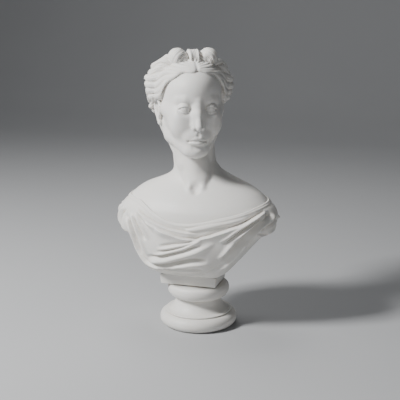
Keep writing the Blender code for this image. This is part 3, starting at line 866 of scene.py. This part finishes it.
def model_nose(clay):
    """A straight classical nose with its wings, nostrils and the ridge between them."""
    rod(clay, HEAD, [(0, -41.8, 9), (0, -45.6, -5), (0, -50.2, -19.8)], [4.0, 3.6, 4.2], 4)
    for flank in both([(3.0, -41.0, 3), (4.4, -44.8, -18)]):
        rod(clay, HEAD, flank, [3.6, 3.8], 4)
    for wing in both([(5.2, -45.9, -21.4)]):
        lump(clay, HEAD, wing[0], (2.7, 3.8, 2.9), 1.6)
    rod(clay, HEAD, [(0, -50.6, -22.0), (0, -45.0, -25.0)], [2.3, 2.2], 1.6)
    for hole in both([(2.9, -47.4, -25.0)]):
        lump(clay, HEAD, hole[0], (0.9, 1.6, 0.9), 0.8, carve=True)


def drawn_rod(clay, knots, soft, carve=False):
    """A strip along a smooth line; each knot is a place and a thickness there."""
    line = drawn_line([knot[:3] for knot in knots], 1.2)
    share = np.linspace(0, len(knots) - 1, len(line))
    thick = np.interp(share, range(len(knots)), [knot[3] for knot in knots])
    rod(clay, HEAD, line, thick, soft, carve)


def model_mouth(clay):
    """Closed lips, the hollow above them and the fold above the chin."""
    lump(clay, HEAD, (0, -39.5, -33.0), (14.5, 8.0, 9.5), 6)
    rod(clay, HEAD, [(0, -49.6, -27.0), (0, -49.4, -31.0)], [1.2, 1.5], 2.6, carve=True)
    upper = [(10.6, -42.6, -37.9, 0.5), (8.4, -44.3, -36.3, 1.2), (5.4, -45.8, -34.9, 1.9),
             (2.4, -46.7, -34.2, 2.2), (0, -46.7, -34.7, 2.1)]
    lower = [(9.6, -42.9, -38.5, 0.6), (7.4, -44.2, -39.5, 1.7), (4.4, -45.5, -40.3, 2.5),
             (1.6, -46.0, -40.6, 2.8), (0, -46.1, -40.6, 2.8)]
    seam = [(11.0, -43.3, -38.1, 0.5), (8.4, -46.0, -37.6, 0.5), (5.4, -48.3, -37.1, 0.5),
            (2.6, -49.4, -36.7, 0.5), (0, -49.5, -37.1, 0.5)]
    for row, soft, carve in ((upper, 1.2, False), (lower, 1.5, False), (seam, 0.7, True)):
        mirrored = [(-x, y, z, r) for x, y, z, r in row[:-1]]
        drawn_rod(clay, mirrored + row[::-1], soft, carve)
    for corner in both([(11.6, -43.9, -38.3)]):
        lump(clay, HEAD, corner[0], 0.9, 2.4, carve=True)
    rod(clay, HEAD, [(-5.0, -48.3, -45.4), (5.0, -48.3, -45.4)], 2.0, 4.5, carve=True)


def model_ear(clay, side):
    """The shell of the ear: rim, inner fold, bowl, flap and lobe."""
    def at(row):
        return [(side * x, y, z) for x, y, z in row]
    rim = [(36.5, -3, -9), (38.2, -3.5, -1), (39.8, 0, 5), (41.2, 5.5, 7.0), (42.0, 10.5, 3.5),
           (41.6, 11.5, -4), (40.2, 9, -12), (38.6, 4.5, -18.5), (37.6, 0.5, -22)]
    lump(clay, HEAD, (side * 37.4, 4, -7), (3.0, 8.5, 13.5), 2.5, turn=("Z", side * 12))
    rod(clay, HEAD, at(rim), [1.3, 1.5, 1.7, 1.8, 1.8, 1.7, 1.6, 1.8, 2.0], 1.0)
    bowl = (side * 41.0, 3.0, -8.5)
    lump(clay, HEAD, bowl, (2.8, 4.0, 6.0), 1.2, carve=True, turn=("Z", side * 12))
    rod(clay, HEAD, at([(40.5, 6.8, 2.5), (40.9, 7.6, -4), (39.7, 5.6, -12.5)]), 1.2, 1.0)
    rod(clay, HEAD, at([(38.6, -2.6, -8.5), (38.8, -1.8, -12.5)]), [1.7, 1.5], 1.2)
    lump(clay, HEAD, (side * 37.6, 0.6, -20.8), (2.3, 3.2, 3.8), 1.6)


def without_islands(points, faces):
    """Keep only the largest connected piece of a mesh."""
    label = np.arange(len(points))
    while True:
        low = label.copy()
        side = label[faces].min(axis=1)
        for k in range(faces.shape[1]):
            np.minimum.at(low, faces[:, k], side)
        low = low[low]
        if np.array_equal(low, label):
            break
        label = low
    main = np.bincount(label[faces[:, 0]]).argmax()
    kept = faces[label[faces[:, 0]] == main]
    used = np.unique(kept)
    renumber = np.full(len(points), -1)
    renumber[used] = np.arange(len(used))
    return points[used], renumber[kept]


clay = Clay((-110, -72, 138), (112, 66, 366), 0.55, (-56, -72, 238), (40, 12, 352))
sectioned(clay, SHOULDERS, SQUARENESS, NECK_TOP)
model_neck(clay)
model_skull(clay)
model_eyes(clay)
model_nose(clay)
model_mouth(clay)
for ear_side in (-1, 1):
    model_ear(clay, ear_side)
head_points, head_faces = without_islands(*clay.surface())
head = new_object("head_and_shoulders_casting", head_points, head_faces)


CASTING_TRIANGLES = 190000


def thin_out(obj, triangles, plain):
    """Bring a mesh down to fewer triangles, taking most of them where it is plain (0 to 1)."""
    group = obj.vertex_groups.new(name="plain")
    for level in range(5):
        chosen = np.nonzero(np.clip((plain * 5).astype(int), 0, 4) == level)[0]
        group.add(chosen.tolist(), (level + 0.5) / 5, "REPLACE")
    now = sum(len(face.vertices) - 2 for face in obj.data.polygons)
    fewer = obj.modifiers.new("fewer_faces", "DECIMATE")
    fewer.ratio = min(1.0, triangles / now)
    fewer.vertex_group = "plain"
    fewer.vertex_group_factor = 6.0
    bpy.ops.object.select_all(action="DESELECT")
    bpy.context.view_layer.objects.active = obj
    obj.select_set(True)
    bpy.ops.object.modifier_apply(modifier="fewer_faces")
    obj.vertex_groups.clear()


head_places = np.empty(len(head.data.vertices) * 3)
head.data.vertices.foreach_get("co", head_places)
head_places = (head_places.reshape(-1, 3) * 1000 - HEAD.centre) @ HEAD.axes / HEAD.size
crown = np.clip((head_places[:, 2] - 30 - 0.6 * np.maximum(-head_places[:, 1] - 10, 0)) / 8, 0, 1)
behind = np.clip((head_places[:, 1] + 2) / 14, 0, 1) * (head_places[:, 2] > -30)
below = np.clip((-100 - head_places[:, 2]) / 25, 0, 1)
thin_out(head, CASTING_TRIANGLES, np.clip(0.05 + crown + 0.8 * behind + 0.7 * below, 0, 1))
head.data.materials.append(bisque("skin_porcelain", (0.81, 0.795, 0.765), (0.785, 0.765, 0.725),
                                  0.52))
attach(head, "bust")
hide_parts("head_and_shoulders")


# ---- hair --------------------------------------------------------------------------------
# The hair belongs to the head's casting but is tooled by itself: parted in the middle, drawn
# in waves over the temples to a knot behind, and framed by a thick twist over each ear.

PARTING = np.array((0.0, -42.0, 43.0))
PARTING_LENGTH = 36.0
GATHER = np.array((0.0, 52.0, 2.0))
RIM_LINE = [(14, 0, 51, 8.0), (26, 3, 50.0, 8.6), (35, 6, 44, 9.2), (41, 8, 34, 9.6),
            (43, 10, 21, 9.6), (41.5, 13, 9, 9.0), (37, 18, 0, 8.4), (31, 24, -7, 8.0),
            (22, 30, -10, 8.0), (10, 36, -11, 8.0)]


def flow(local):
    """Where points lie along and across the run of the hair, from parting to knot."""
    axis = GATHER - PARTING
    length = np.linalg.norm(axis)
    axis = axis / length
    upward = np.array((0.0, -axis[2], axis[1]))
    way = local - PARTING
    along = way @ axis
    off = way - along[:, None] * axis
    fan = 15.0 * np.clip(1 - along / PARTING_LENGTH, 0, 1) ** 1.3
    across = np.degrees(np.arctan2(np.abs(off[:, 0]) + fan, off @ upward))
    return along / length, across


def unevenness(local, scale, seed):
    """Soft, repeatable irregularity made of a few crossed waves."""
    dice = np.random.default_rng(seed)
    total = np.zeros(len(local))
    for _ in range(6):
        direction = dice.normal(size=3)
        total += np.sin(local @ direction / scale + dice.uniform(0, math.tau))
    return total / 6


def comb(local, along, across, lock, swing, depth, strand, seed):
    """Lift of the surface for locks, the waves along them and the strands in them."""
    noise = unevenness(local, 16.0, seed)
    phase = math.tau * 3.1 * along + 0.035 * across
    psi = across + swing * np.sin(phase) + 2.2 * noise
    number = np.floor(psi / lock)
    inside = psi / lock - number
    tall = 0.75 + 0.25 * np.sin(number * 2.4 + seed)
    roll = np.sin(math.pi * inside) ** 0.6 * depth * tall
    crest = 0.42 * depth * np.sin(phase + 1.2 + 0.5 * np.sin(number * 1.7))
    fine = np.sin(math.tau * psi / strand + 1.5 * noise) * (0.6 + 0.4 * np.sin(number * 3.1))
    fine += 0.5 * np.sin(math.tau * psi / (strand * 0.61) + number)
    return roll + crest, fine


def beside(local, line, reach):
    """Distance from a line, way along it and angle round it, for the points near it."""
    steps = np.linalg.norm(np.diff(line, axis=0), axis=1)
    run = np.concatenate([[0], np.cumsum(steps)])
    ahead = np.gradient(line, axis=0)
    ahead /= np.linalg.norm(ahead, axis=1, keepdims=True)
    low, high = line.min(axis=0) - reach, line.max(axis=0) + reach
    near = np.nonzero(np.all((local > low) & (local < high), axis=1))[0]
    spot = local[near]
    gap = np.full(len(near), 1e9)
    best = np.zeros(len(near), int)
    for k in range(len(line)):
        square = ((spot - line[k]) ** 2).sum(axis=1)
        closer = square < gap
        gap[closer] = square[closer]
        best[closer] = k
    off = spot - line[best]
    slip = (off * ahead[best]).sum(axis=1)
    off = off - slip[:, None] * ahead[best]
    side = np.cross(ahead[best], (0.0, 1.0, 0.0))
    side /= np.linalg.norm(side, axis=1, keepdims=True) + 1e-9
    other = np.cross(ahead[best], side)
    angle = np.arctan2((off * other).sum(axis=1), (off * side).sum(axis=1))
    return near, np.sqrt(gap), run[best] + slip, angle, best


def face_window(hx, hy, hz):
    """How far points lie inside the hair's edge round the face; below 0 is in the hair."""
    top = 3 + 38 * np.sqrt(np.clip(1 - (np.abs(hx) / 40) ** 2.6, 0, 1))
    top = top + 0.9 * np.sin(0.33 * hx + 0.8)
    above, before = (top - hz) * 0.8, -9 - hy
    mix = np.clip(0.5 + 0.5 * (above - before) / 8, 0, 1)
    return above + (before - above) * mix - 8 * mix * (1 - mix)


hair_clay = Clay((-92, -62, 252), (62, 64, 378), 0.75)
lump(hair_clay, HEAD, (0, 9, 17), (43.5, 49.5, 41.0), 5)
lump(hair_clay, HEAD, (0, -6, 26), (36.8, 36.8, 29.6), 6)
for side in (-1, 1):
    lump(hair_clay, HEAD, (side * 22, 8, 24), (25.0, 29.5, 25), 7)
    lump(hair_clay, HEAD, (side * 24, 14, 8), (20.0, 32, 18), 7)
lump(hair_clay, HEAD, (0, 26, -8), (36, 28, 26), 8)
rim_lines = []
for side in (-1, 1):
    line = drawn_line([(side * a, b, c) for a, b, c, _ in RIM_LINE], 1.2)
    share = np.linspace(0, len(RIM_LINE) - 1, len(line))
    radii = np.interp(share, range(len(RIM_LINE)), [r for *_, r in RIM_LINE])
    rim_lines.append((line, radii))
    for k in range(0, len(line) - 4, 4):
        rod(hair_clay, HEAD, line[k:k + 5:4], radii[k:k + 5:4], 5.0)
part, x, y, z = hair_clay.window(HEAD.centre, 90)
hx, hy, hz = HEAD.local(x, y, z, (0, 0, 0))
nape_edge = (-17.0 - (hy - 18.0) * 0.9 - hz) * 0.74
ear_edge = 17.0 - np.sqrt(((hy - 2.0) / 1.05) ** 2 + (hz + 10.5) ** 2)
ear_edge = np.where(np.abs(hx) > 26, ear_edge, -20.0)
mass = hair_clay.depth[part] / HEAD.size
for edge, soft in ((face_window(hx, hy, hz), 6.0), (nape_edge, 5.0), (ear_edge, 4.0)):
    mix = np.clip(0.5 + 0.5 * (edge - mass) / soft, 0, 1)
    mass = mass + (edge - mass) * mix + soft * mix * (1 - mix)
hair_clay.depth[part] = (mass * HEAD.size).astype(np.float32)
hair_points, hair_faces = without_islands(*hair_clay.surface())

hair_local = (hair_points - HEAD.centre) @ HEAD.axes / HEAD.size
hair_out = facing(hair_points, hair_faces)
along, across = flow(hair_local)
rim_near = np.zeros(len(hair_points))
for line, radii in rim_lines:
    near, gap, *_ = beside(hair_local, line, 16)
    rim_near[near] = np.maximum(rim_near[near], np.exp(-(np.maximum(gap - 8.5, 0) / 4.0) ** 2))
big, fine = comb(hair_local, along, across, 10.5, 3.2, 2.4, 2.6, 3)
inside = np.minimum(-face_window(*hair_local.T),
                    (hair_local[:, 2] + 17.0 + (hair_local[:, 1] - 18.0) * 0.9) * 0.74)
body = np.clip((inside - 0.5) / 9.0, 0, 1) ** 0.8
parting = 1.0 - np.exp(-(hair_local[:, 0] / 2.0) ** 2) * (hair_local[:, 1] < 20)
combed_flat = 0.3 + 0.7 * np.clip((along - 0.06) / 0.24, 0, 1)
hair_lift = (big - 1.2) * body * parting * combed_flat * (1 + 0.6 * rim_near)
hair_lift -= 1.2 * (1 - parting)
hair_lift += fine * 0.34 * (0.55 + 0.45 * body) * parting * (1.4 * combed_flat - 0.4)
hair_points = hair_points + hair_lift[:, None] * hair_out * HEAD.size
hair = new_object("hair_casting", hair_points, hair_faces)
thin_out(hair, CASTING_TRIANGLES, np.clip(-hair_local[:, 2] / 40, 0, 0.6))
hair.data.materials.append(bisque("hair_porcelain", (0.80, 0.785, 0.755), (0.77, 0.745, 0.70),
                                  0.58))
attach(hair, "bust")


# ---- coronet and chignon -----------------------------------------------------------------
# Two puffed rolls with a knot between them on the crown, and a plaited chignon behind.  They
# were cast apart and stuck on with slip before firing.


def twisted(run, angle, pitch, depth, strand):
    """Lift of the surface of a twist of hair: fat turns, with strands that follow them."""
    turn = run / pitch + angle / math.tau
    inside = turn - np.floor(turn)
    fat = np.abs(np.sin(math.pi * inside)) ** 0.55 * depth
    fine = np.sin(math.tau * turn * pitch / strand) + 0.4 * np.sin(math.tau * turn * pitch / 1.9)
    return fat, fine


CROWN = Posed((-7.0, -6.0, 299.0), turn=30)

for name, side, node in (("right_roll_casting", -1, "right_roll"),
                         ("left_roll_casting", 1, "left_roll")):
    centre = CROWN.place((side * 20.5, -5.0, 66.5))
    roll_clay = Clay(centre - 20, centre + 20, 0.45)
    lump(roll_clay, CROWN, (side * 20.5, -5.0, 66.5), (12.4, 14.5, 12.6), 1, turn=("Y", side * 6))
    lump(roll_clay, CROWN, (side * 13.5, -5.0, 63.5), (7.5, 12.5, 9.5), 3)
    points, faces = roll_clay.surface()
    local = (points - CROWN.centre) @ CROWN.axes
    outward = facing(points, faces)
    sweep_x = side * local[:, 0] - 9.0
    sweep_z = local[:, 2] - 58.5
    ring = np.hypot(sweep_x, sweep_z * 1.05) + 0.35 * unevenness(local, 5.0, 11 + side)
    flank = np.abs(outward @ CROWN.axes[:, 1])
    strands = np.sin(math.tau * ring / 1.9) * 0.20 + np.sin(math.tau * ring / 5.2) * 0.26
    wrap = local[:, 1] * 0.10
    strands = strands * (0.35 + 0.65 * flank) + np.sin(math.tau * (ring + wrap) / 2.3) * 0.14
    eye = np.exp(-((sweep_x - 8.5) ** 2 + (sweep_z - 7.5) ** 2) / 16.0) * flank
    points = points + (strands - 1.6 * eye)[:, None] * outward
    roll = new_object(name, points, faces)
    roll.data.materials.append(hair.data.materials[0])
    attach(roll, "bust")
    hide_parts(node)

centre = CROWN.place((0, -5.0, 64.5))
knot_clay = Clay(centre - 20, centre + 20, 0.45)
for side in (-1, 1):
    lump(knot_clay, CROWN, (side * 3.6, -5.0, 66.0), (5.6, 14.5, 11.6), 3)
lump(knot_clay, CROWN, (0, -9.0, 58.0), (8.6, 12.0, 9.0), 3)
points, faces = knot_clay.surface()
local = (points - CROWN.centre) @ CROWN.axes
outward = facing(points, faces)
lean = local[:, 0] * (1 + 0.012 * (66 - local[:, 2])) + 0.5 * unevenness(local, 6.0, 5)
lift = np.cos(math.tau * lean / 5.6) * 0.65 + np.sin(math.tau * lean / 1.9) * 0.20
points = points + lift[:, None] * outward
knot = new_object("middle_knot_casting", points, faces)
knot.data.materials.append(hair.data.materials[0])
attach(knot, "bust")
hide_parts("middle_knot")

BUN = (0.0, 58.0, 7.0)
centre = CROWN.place(BUN)
bun_clay = Clay(centre - 34, centre + 34, 0.6)
lump(bun_clay, CROWN, BUN, (21, 9, 20), 1)
turns = np.linspace(0, 2.0, 150)
coil = 19.0 - 12.5 * turns / 2.0
rise = 3.0 + 5.5 * (1 - (coil / 19.0) ** 2)
plait_lines = []
for strand in range(3):
    phase = math.tau * (turns * 7.0 + strand / 3)
    reach = coil + 2.5 * np.sin(phase)
    level = rise + 1.5 * np.sin(2 * phase)
    line = np.stack([BUN[0] + reach * np.cos(math.tau * turns), BUN[1] + level,
                     BUN[2] + reach * np.sin(math.tau * turns)], -1)
    plait_lines.append(line)
    for k in range(len(line) - 1):
        rod(bun_clay, CROWN, line[k:k + 2], (3.3, 3.3), 0.3)
around = np.linspace(0, math.tau, 121)
band = np.stack([BUN[0] + 21.5 * np.cos(around), BUN[1] - 3.0 + 0 * around,
                 BUN[2] + 19.5 * np.sin(around)], -1)
for k in range(0, 120, 2):
    rod(bun_clay, CROWN, band[k:k + 3:2], (5.0, 5.0), 0.4)
points, faces = without_islands(*bun_clay.surface())
local = (points - CROWN.centre) @ CROWN.axes
outward = facing(points, faces)
lift = np.zeros(len(points))
closest = np.full(len(points), 1e9)
for line in plait_lines:
    near, gap, run, angle, _ = beside(local, line, 6)
    mine = gap < closest[near]
    closest[near[mine]] = gap[mine]
    lift[near[mine]] = 0.22 * np.sin(7 * angle[mine])
near, gap, run, angle, _ = beside(local, band, 9)
mine = gap < closest[near] + 1.0
fat, fine = twisted(run[mine], angle[mine], 9.0, 1.6, 2.4)
lift[near[mine]] = fat - 0.9 + 0.22 * fine
points = points + lift[:, None] * outward
chignon = new_object("chignon_casting", points, faces)
chignon.data.materials.append(hair.data.materials[0])
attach(chignon, "bust")
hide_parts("chignon")


# ---- clamping hardware -------------------------------------------------------------------
# A wrought-iron rod holds bust and foot together: its head is bedded in plaster inside the
# bust, and a nut draws it down over an iron and a leather washer in the hollow of the foot.

def worn(name, first, second, metallic, rough, size, bump_height):
    """A finish for the hidden fittings: two mottled colours, uneven gloss and fine relief."""
    material = bpy.data.materials.new(name)
    material.use_nodes = True
    nodes, links = material.node_tree.nodes, material.node_tree.links
    shader = nodes["Principled BSDF"]
    where = nodes.new("ShaderNodeTexCoord")
    cloud = nodes.new("ShaderNodeTexNoise")
    cloud.inputs["Scale"].default_value = size
    cloud.inputs["Detail"].default_value = 6
    links.new(where.outputs["Object"], cloud.inputs["Vector"])
    colour = nodes.new("ShaderNodeMix")
    colour.data_type = "RGBA"
    colour.inputs["A"].default_value = (*first, 1)
    colour.inputs["B"].default_value = (*second, 1)
    contrast = nodes.new("ShaderNodeMapRange")
    contrast.inputs["From Min"].default_value = 0.38
    contrast.inputs["From Max"].default_value = 0.64
    links.new(cloud.outputs["Fac"], contrast.inputs["Value"])
    links.new(contrast.outputs["Result"], colour.inputs["Factor"])
    rubbed = nodes.new("ShaderNodeMix")
    rubbed.data_type = "RGBA"
    rubbed.inputs["B"].default_value = (*[min(1.0, c * 1.7) for c in first], 1)
    edges = nodes.new("ShaderNodeMapRange")
    edges.inputs["From Min"].default_value = 0.52
    edges.inputs["From Max"].default_value = 0.62
    links.new(nodes.new("ShaderNodeNewGeometry").outputs["Pointiness"], edges.inputs["Value"])
    links.new(edges.outputs["Result"], rubbed.inputs["Factor"])
    links.new(colour.outputs["Result"], rubbed.inputs["A"])
    links.new(rubbed.outputs["Result"], shader.inputs["Base Color"])
    gloss = nodes.new("ShaderNodeMapRange")
    gloss.inputs["To Min"].default_value = rough - 0.1
    gloss.inputs["To Max"].default_value = rough + 0.1
    links.new(cloud.outputs["Fac"], gloss.inputs["Value"])
    links.new(gloss.outputs["Result"], shader.inputs["Roughness"])
    grain = nodes.new("ShaderNodeTexNoise")
    grain.inputs["Scale"].default_value = size * 6
    grain.inputs["Detail"].default_value = 4
    links.new(where.outputs["Object"], grain.inputs["Vector"])
    bump = nodes.new("ShaderNodeBump")
    bump.inputs["Strength"].default_value = 0.5
    bump.inputs["Distance"].default_value = bump_height
    links.new(grain.outputs["Fac"], bump.inputs["Height"])
    links.new(bump.outputs["Normal"], shader.inputs["Normal"])
    shader.inputs["Metallic"].default_value = metallic
    return material


iron = worn("wrought_iron", (0.16, 0.15, 0.14), (0.17, 0.085, 0.045), 0.85, 0.55, 260, 0.0002)
leather = worn("oak_bark_leather", (0.27, 0.15, 0.08), (0.16, 0.085, 0.045), 0.0, 0.68, 320,
               0.0002)
cork = worn("pressed_cork", (0.47, 0.33, 0.20), (0.30, 0.19, 0.105), 0.0, 0.85, 700, 0.0003)
plaster = worn("casting_plaster", (0.74, 0.71, 0.66), (0.66, 0.62, 0.56), 0.0, 0.85, 90, 0.0003)

# The rod's lower end carries a coarse screw thread, 1.25 mm to the turn.
bpy.ops.object.select_all(action="DESELECT")
turned = 40
pitch = 0.00125
rows = []
for step in range(int((0.036 - 0.0105) / pitch * 10) + 1):
    height = 0.0105 + step * pitch / 10
    ring = []
    for k in range(turned):
        angle = math.tau * k / turned
        tooth = abs(((height / pitch - k / turned) % 1.0) * 2 - 1)
        run_out = min(1.0, (0.0345 - height) / 0.002, (height - 0.0103) / 0.0012)
        radius = 0.0040 - 0.00062 * tooth * max(0.0, run_out) - 0.0006 * (step == 0)
        ring.append((radius * math.cos(angle), radius * math.sin(angle), height))
    rows.append(ring)
rows.append([(0.004 * math.cos(math.tau * k / turned), 0.004 * math.sin(math.tau * k / turned),
              0.110) for k in range(turned)])
places = [point for ring in rows for point in ring]
faces = [list(reversed(range(turned)))]
for r in range(len(rows) - 1):
    for k in range(turned):
        low, nxt = r * turned, (k + 1) % turned
        faces.append([low + k, low + nxt, low + turned + nxt, low + turned + k])
faces.append([(len(rows) - 1) * turned + k for k in range(turned)])
mesh = bpy.data.meshes.new("tie_rod_iron")
mesh.from_pydata(places, [], faces)
tie_rod = bpy.data.objects.new("tie_rod_iron", mesh)
bpy.context.scene.collection.objects.link(tie_rod)
bpy.context.view_layer.objects.active = tie_rod
tie_rod.select_set(True)
bpy.ops.object.shade_smooth_by_angle(angle=math.radians(50))
tie_rod.data.materials.append(iron)
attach(tie_rod, "bust")
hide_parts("tie_rod")

# Hexagon nut with its corners chamfered off by a cone, drilled to pass the rod.
nut_low, nut_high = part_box("clamp_nut")
nut_middle = (nut_low.z + nut_high.z) / 2
nut_height = nut_high.z - nut_low.z
bpy.ops.object.select_all(action="DESELECT")
bpy.ops.mesh.primitive_cylinder_add(vertices=6, radius=0.0065 / math.cos(math.radians(30)),
                                    depth=nut_height, location=(0, 0, nut_middle))
nut = bpy.context.object
nut.name = "clamp_nut_iron"
bpy.ops.mesh.primitive_cylinder_add(vertices=72, radius=0.0074, depth=nut_height,
                                    location=(0, 0, nut_middle))
blank = bpy.context.object
blank_edge = blank.modifiers.new("chamfer", "BEVEL")
blank_edge.width = 0.0009
blank_edge.segments = 2
blank_edge.limit_method = "ANGLE"
bpy.ops.object.modifier_apply(modifier="chamfer")
bpy.ops.mesh.primitive_cylinder_add(vertices=40, radius=0.0043, depth=0.02,
                                    location=(0, 0, nut_middle))
drill = bpy.context.object
bpy.ops.object.select_all(action="DESELECT")
bpy.context.view_layer.objects.active = nut
nut.select_set(True)
for tool, how in ((blank, "INTERSECT"), (drill, "DIFFERENCE")):
    cut = nut.modifiers.new("cut", "BOOLEAN")
    cut.object = tool
    cut.operation = how
    cut.solver = "EXACT"
    bpy.ops.object.modifier_apply(modifier="cut")
    bpy.data.objects.remove(tool)
bpy.ops.object.transform_apply(location=True, rotation=True, scale=True)
bpy.ops.object.shade_smooth_by_angle(angle=math.radians(30))
nut.data.materials.append(iron)
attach(nut, "bust")
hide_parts("clamp_nut")

# The three washers are plain rings with eased edges.
for name, node, body, finish, material, slot in (
        ("iron_washer_ring", "iron_washer", "bust", 0.0002, iron, "iron"),
        ("leather_washer_ring", "leather_washer", "socle", 0.0005, leather, "leather"),
        ("bedding_washer_ring", "bedding_washer", "socle", 0.0003, cork, "cork")):
    low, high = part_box(node)
    middle = (low.z + high.z) / 2
    bpy.ops.object.select_all(action="DESELECT")
    bpy.ops.mesh.primitive_cylinder_add(vertices=96, radius=high.x, depth=high.z - low.z,
                                        location=(0, 0, middle))
    ring = bpy.context.object
    ring.name = name
    bpy.ops.mesh.primitive_cylinder_add(vertices=48, radius=0.0043, depth=0.02,
                                        location=(0, 0, middle))
    drill = bpy.context.object
    bpy.ops.object.select_all(action="DESELECT")
    bpy.context.view_layer.objects.active = ring
    ring.select_set(True)
    bore = ring.modifiers.new("bore", "BOOLEAN")
    bore.object = drill
    bore.solver = "EXACT"
    bpy.ops.object.modifier_apply(modifier="bore")
    bpy.data.objects.remove(drill)
    eased = ring.modifiers.new("eased", "BEVEL")
    eased.width = finish
    eased.segments = 3
    eased.limit_method = "ANGLE"
    bpy.ops.object.modifier_apply(modifier="eased")
    bpy.ops.object.transform_apply(location=True, rotation=True, scale=True)
    bpy.ops.object.shade_smooth_by_angle(angle=math.radians(40))
    ring.data.materials.append(material)
    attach(ring, body)
    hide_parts(node)

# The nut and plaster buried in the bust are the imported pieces, given their own finishes.
for node, material in (("anchor_nut", iron), ("plaster_setting", plaster)):
    for place in frame["nodes"][node].material_slots:
        place.material = material
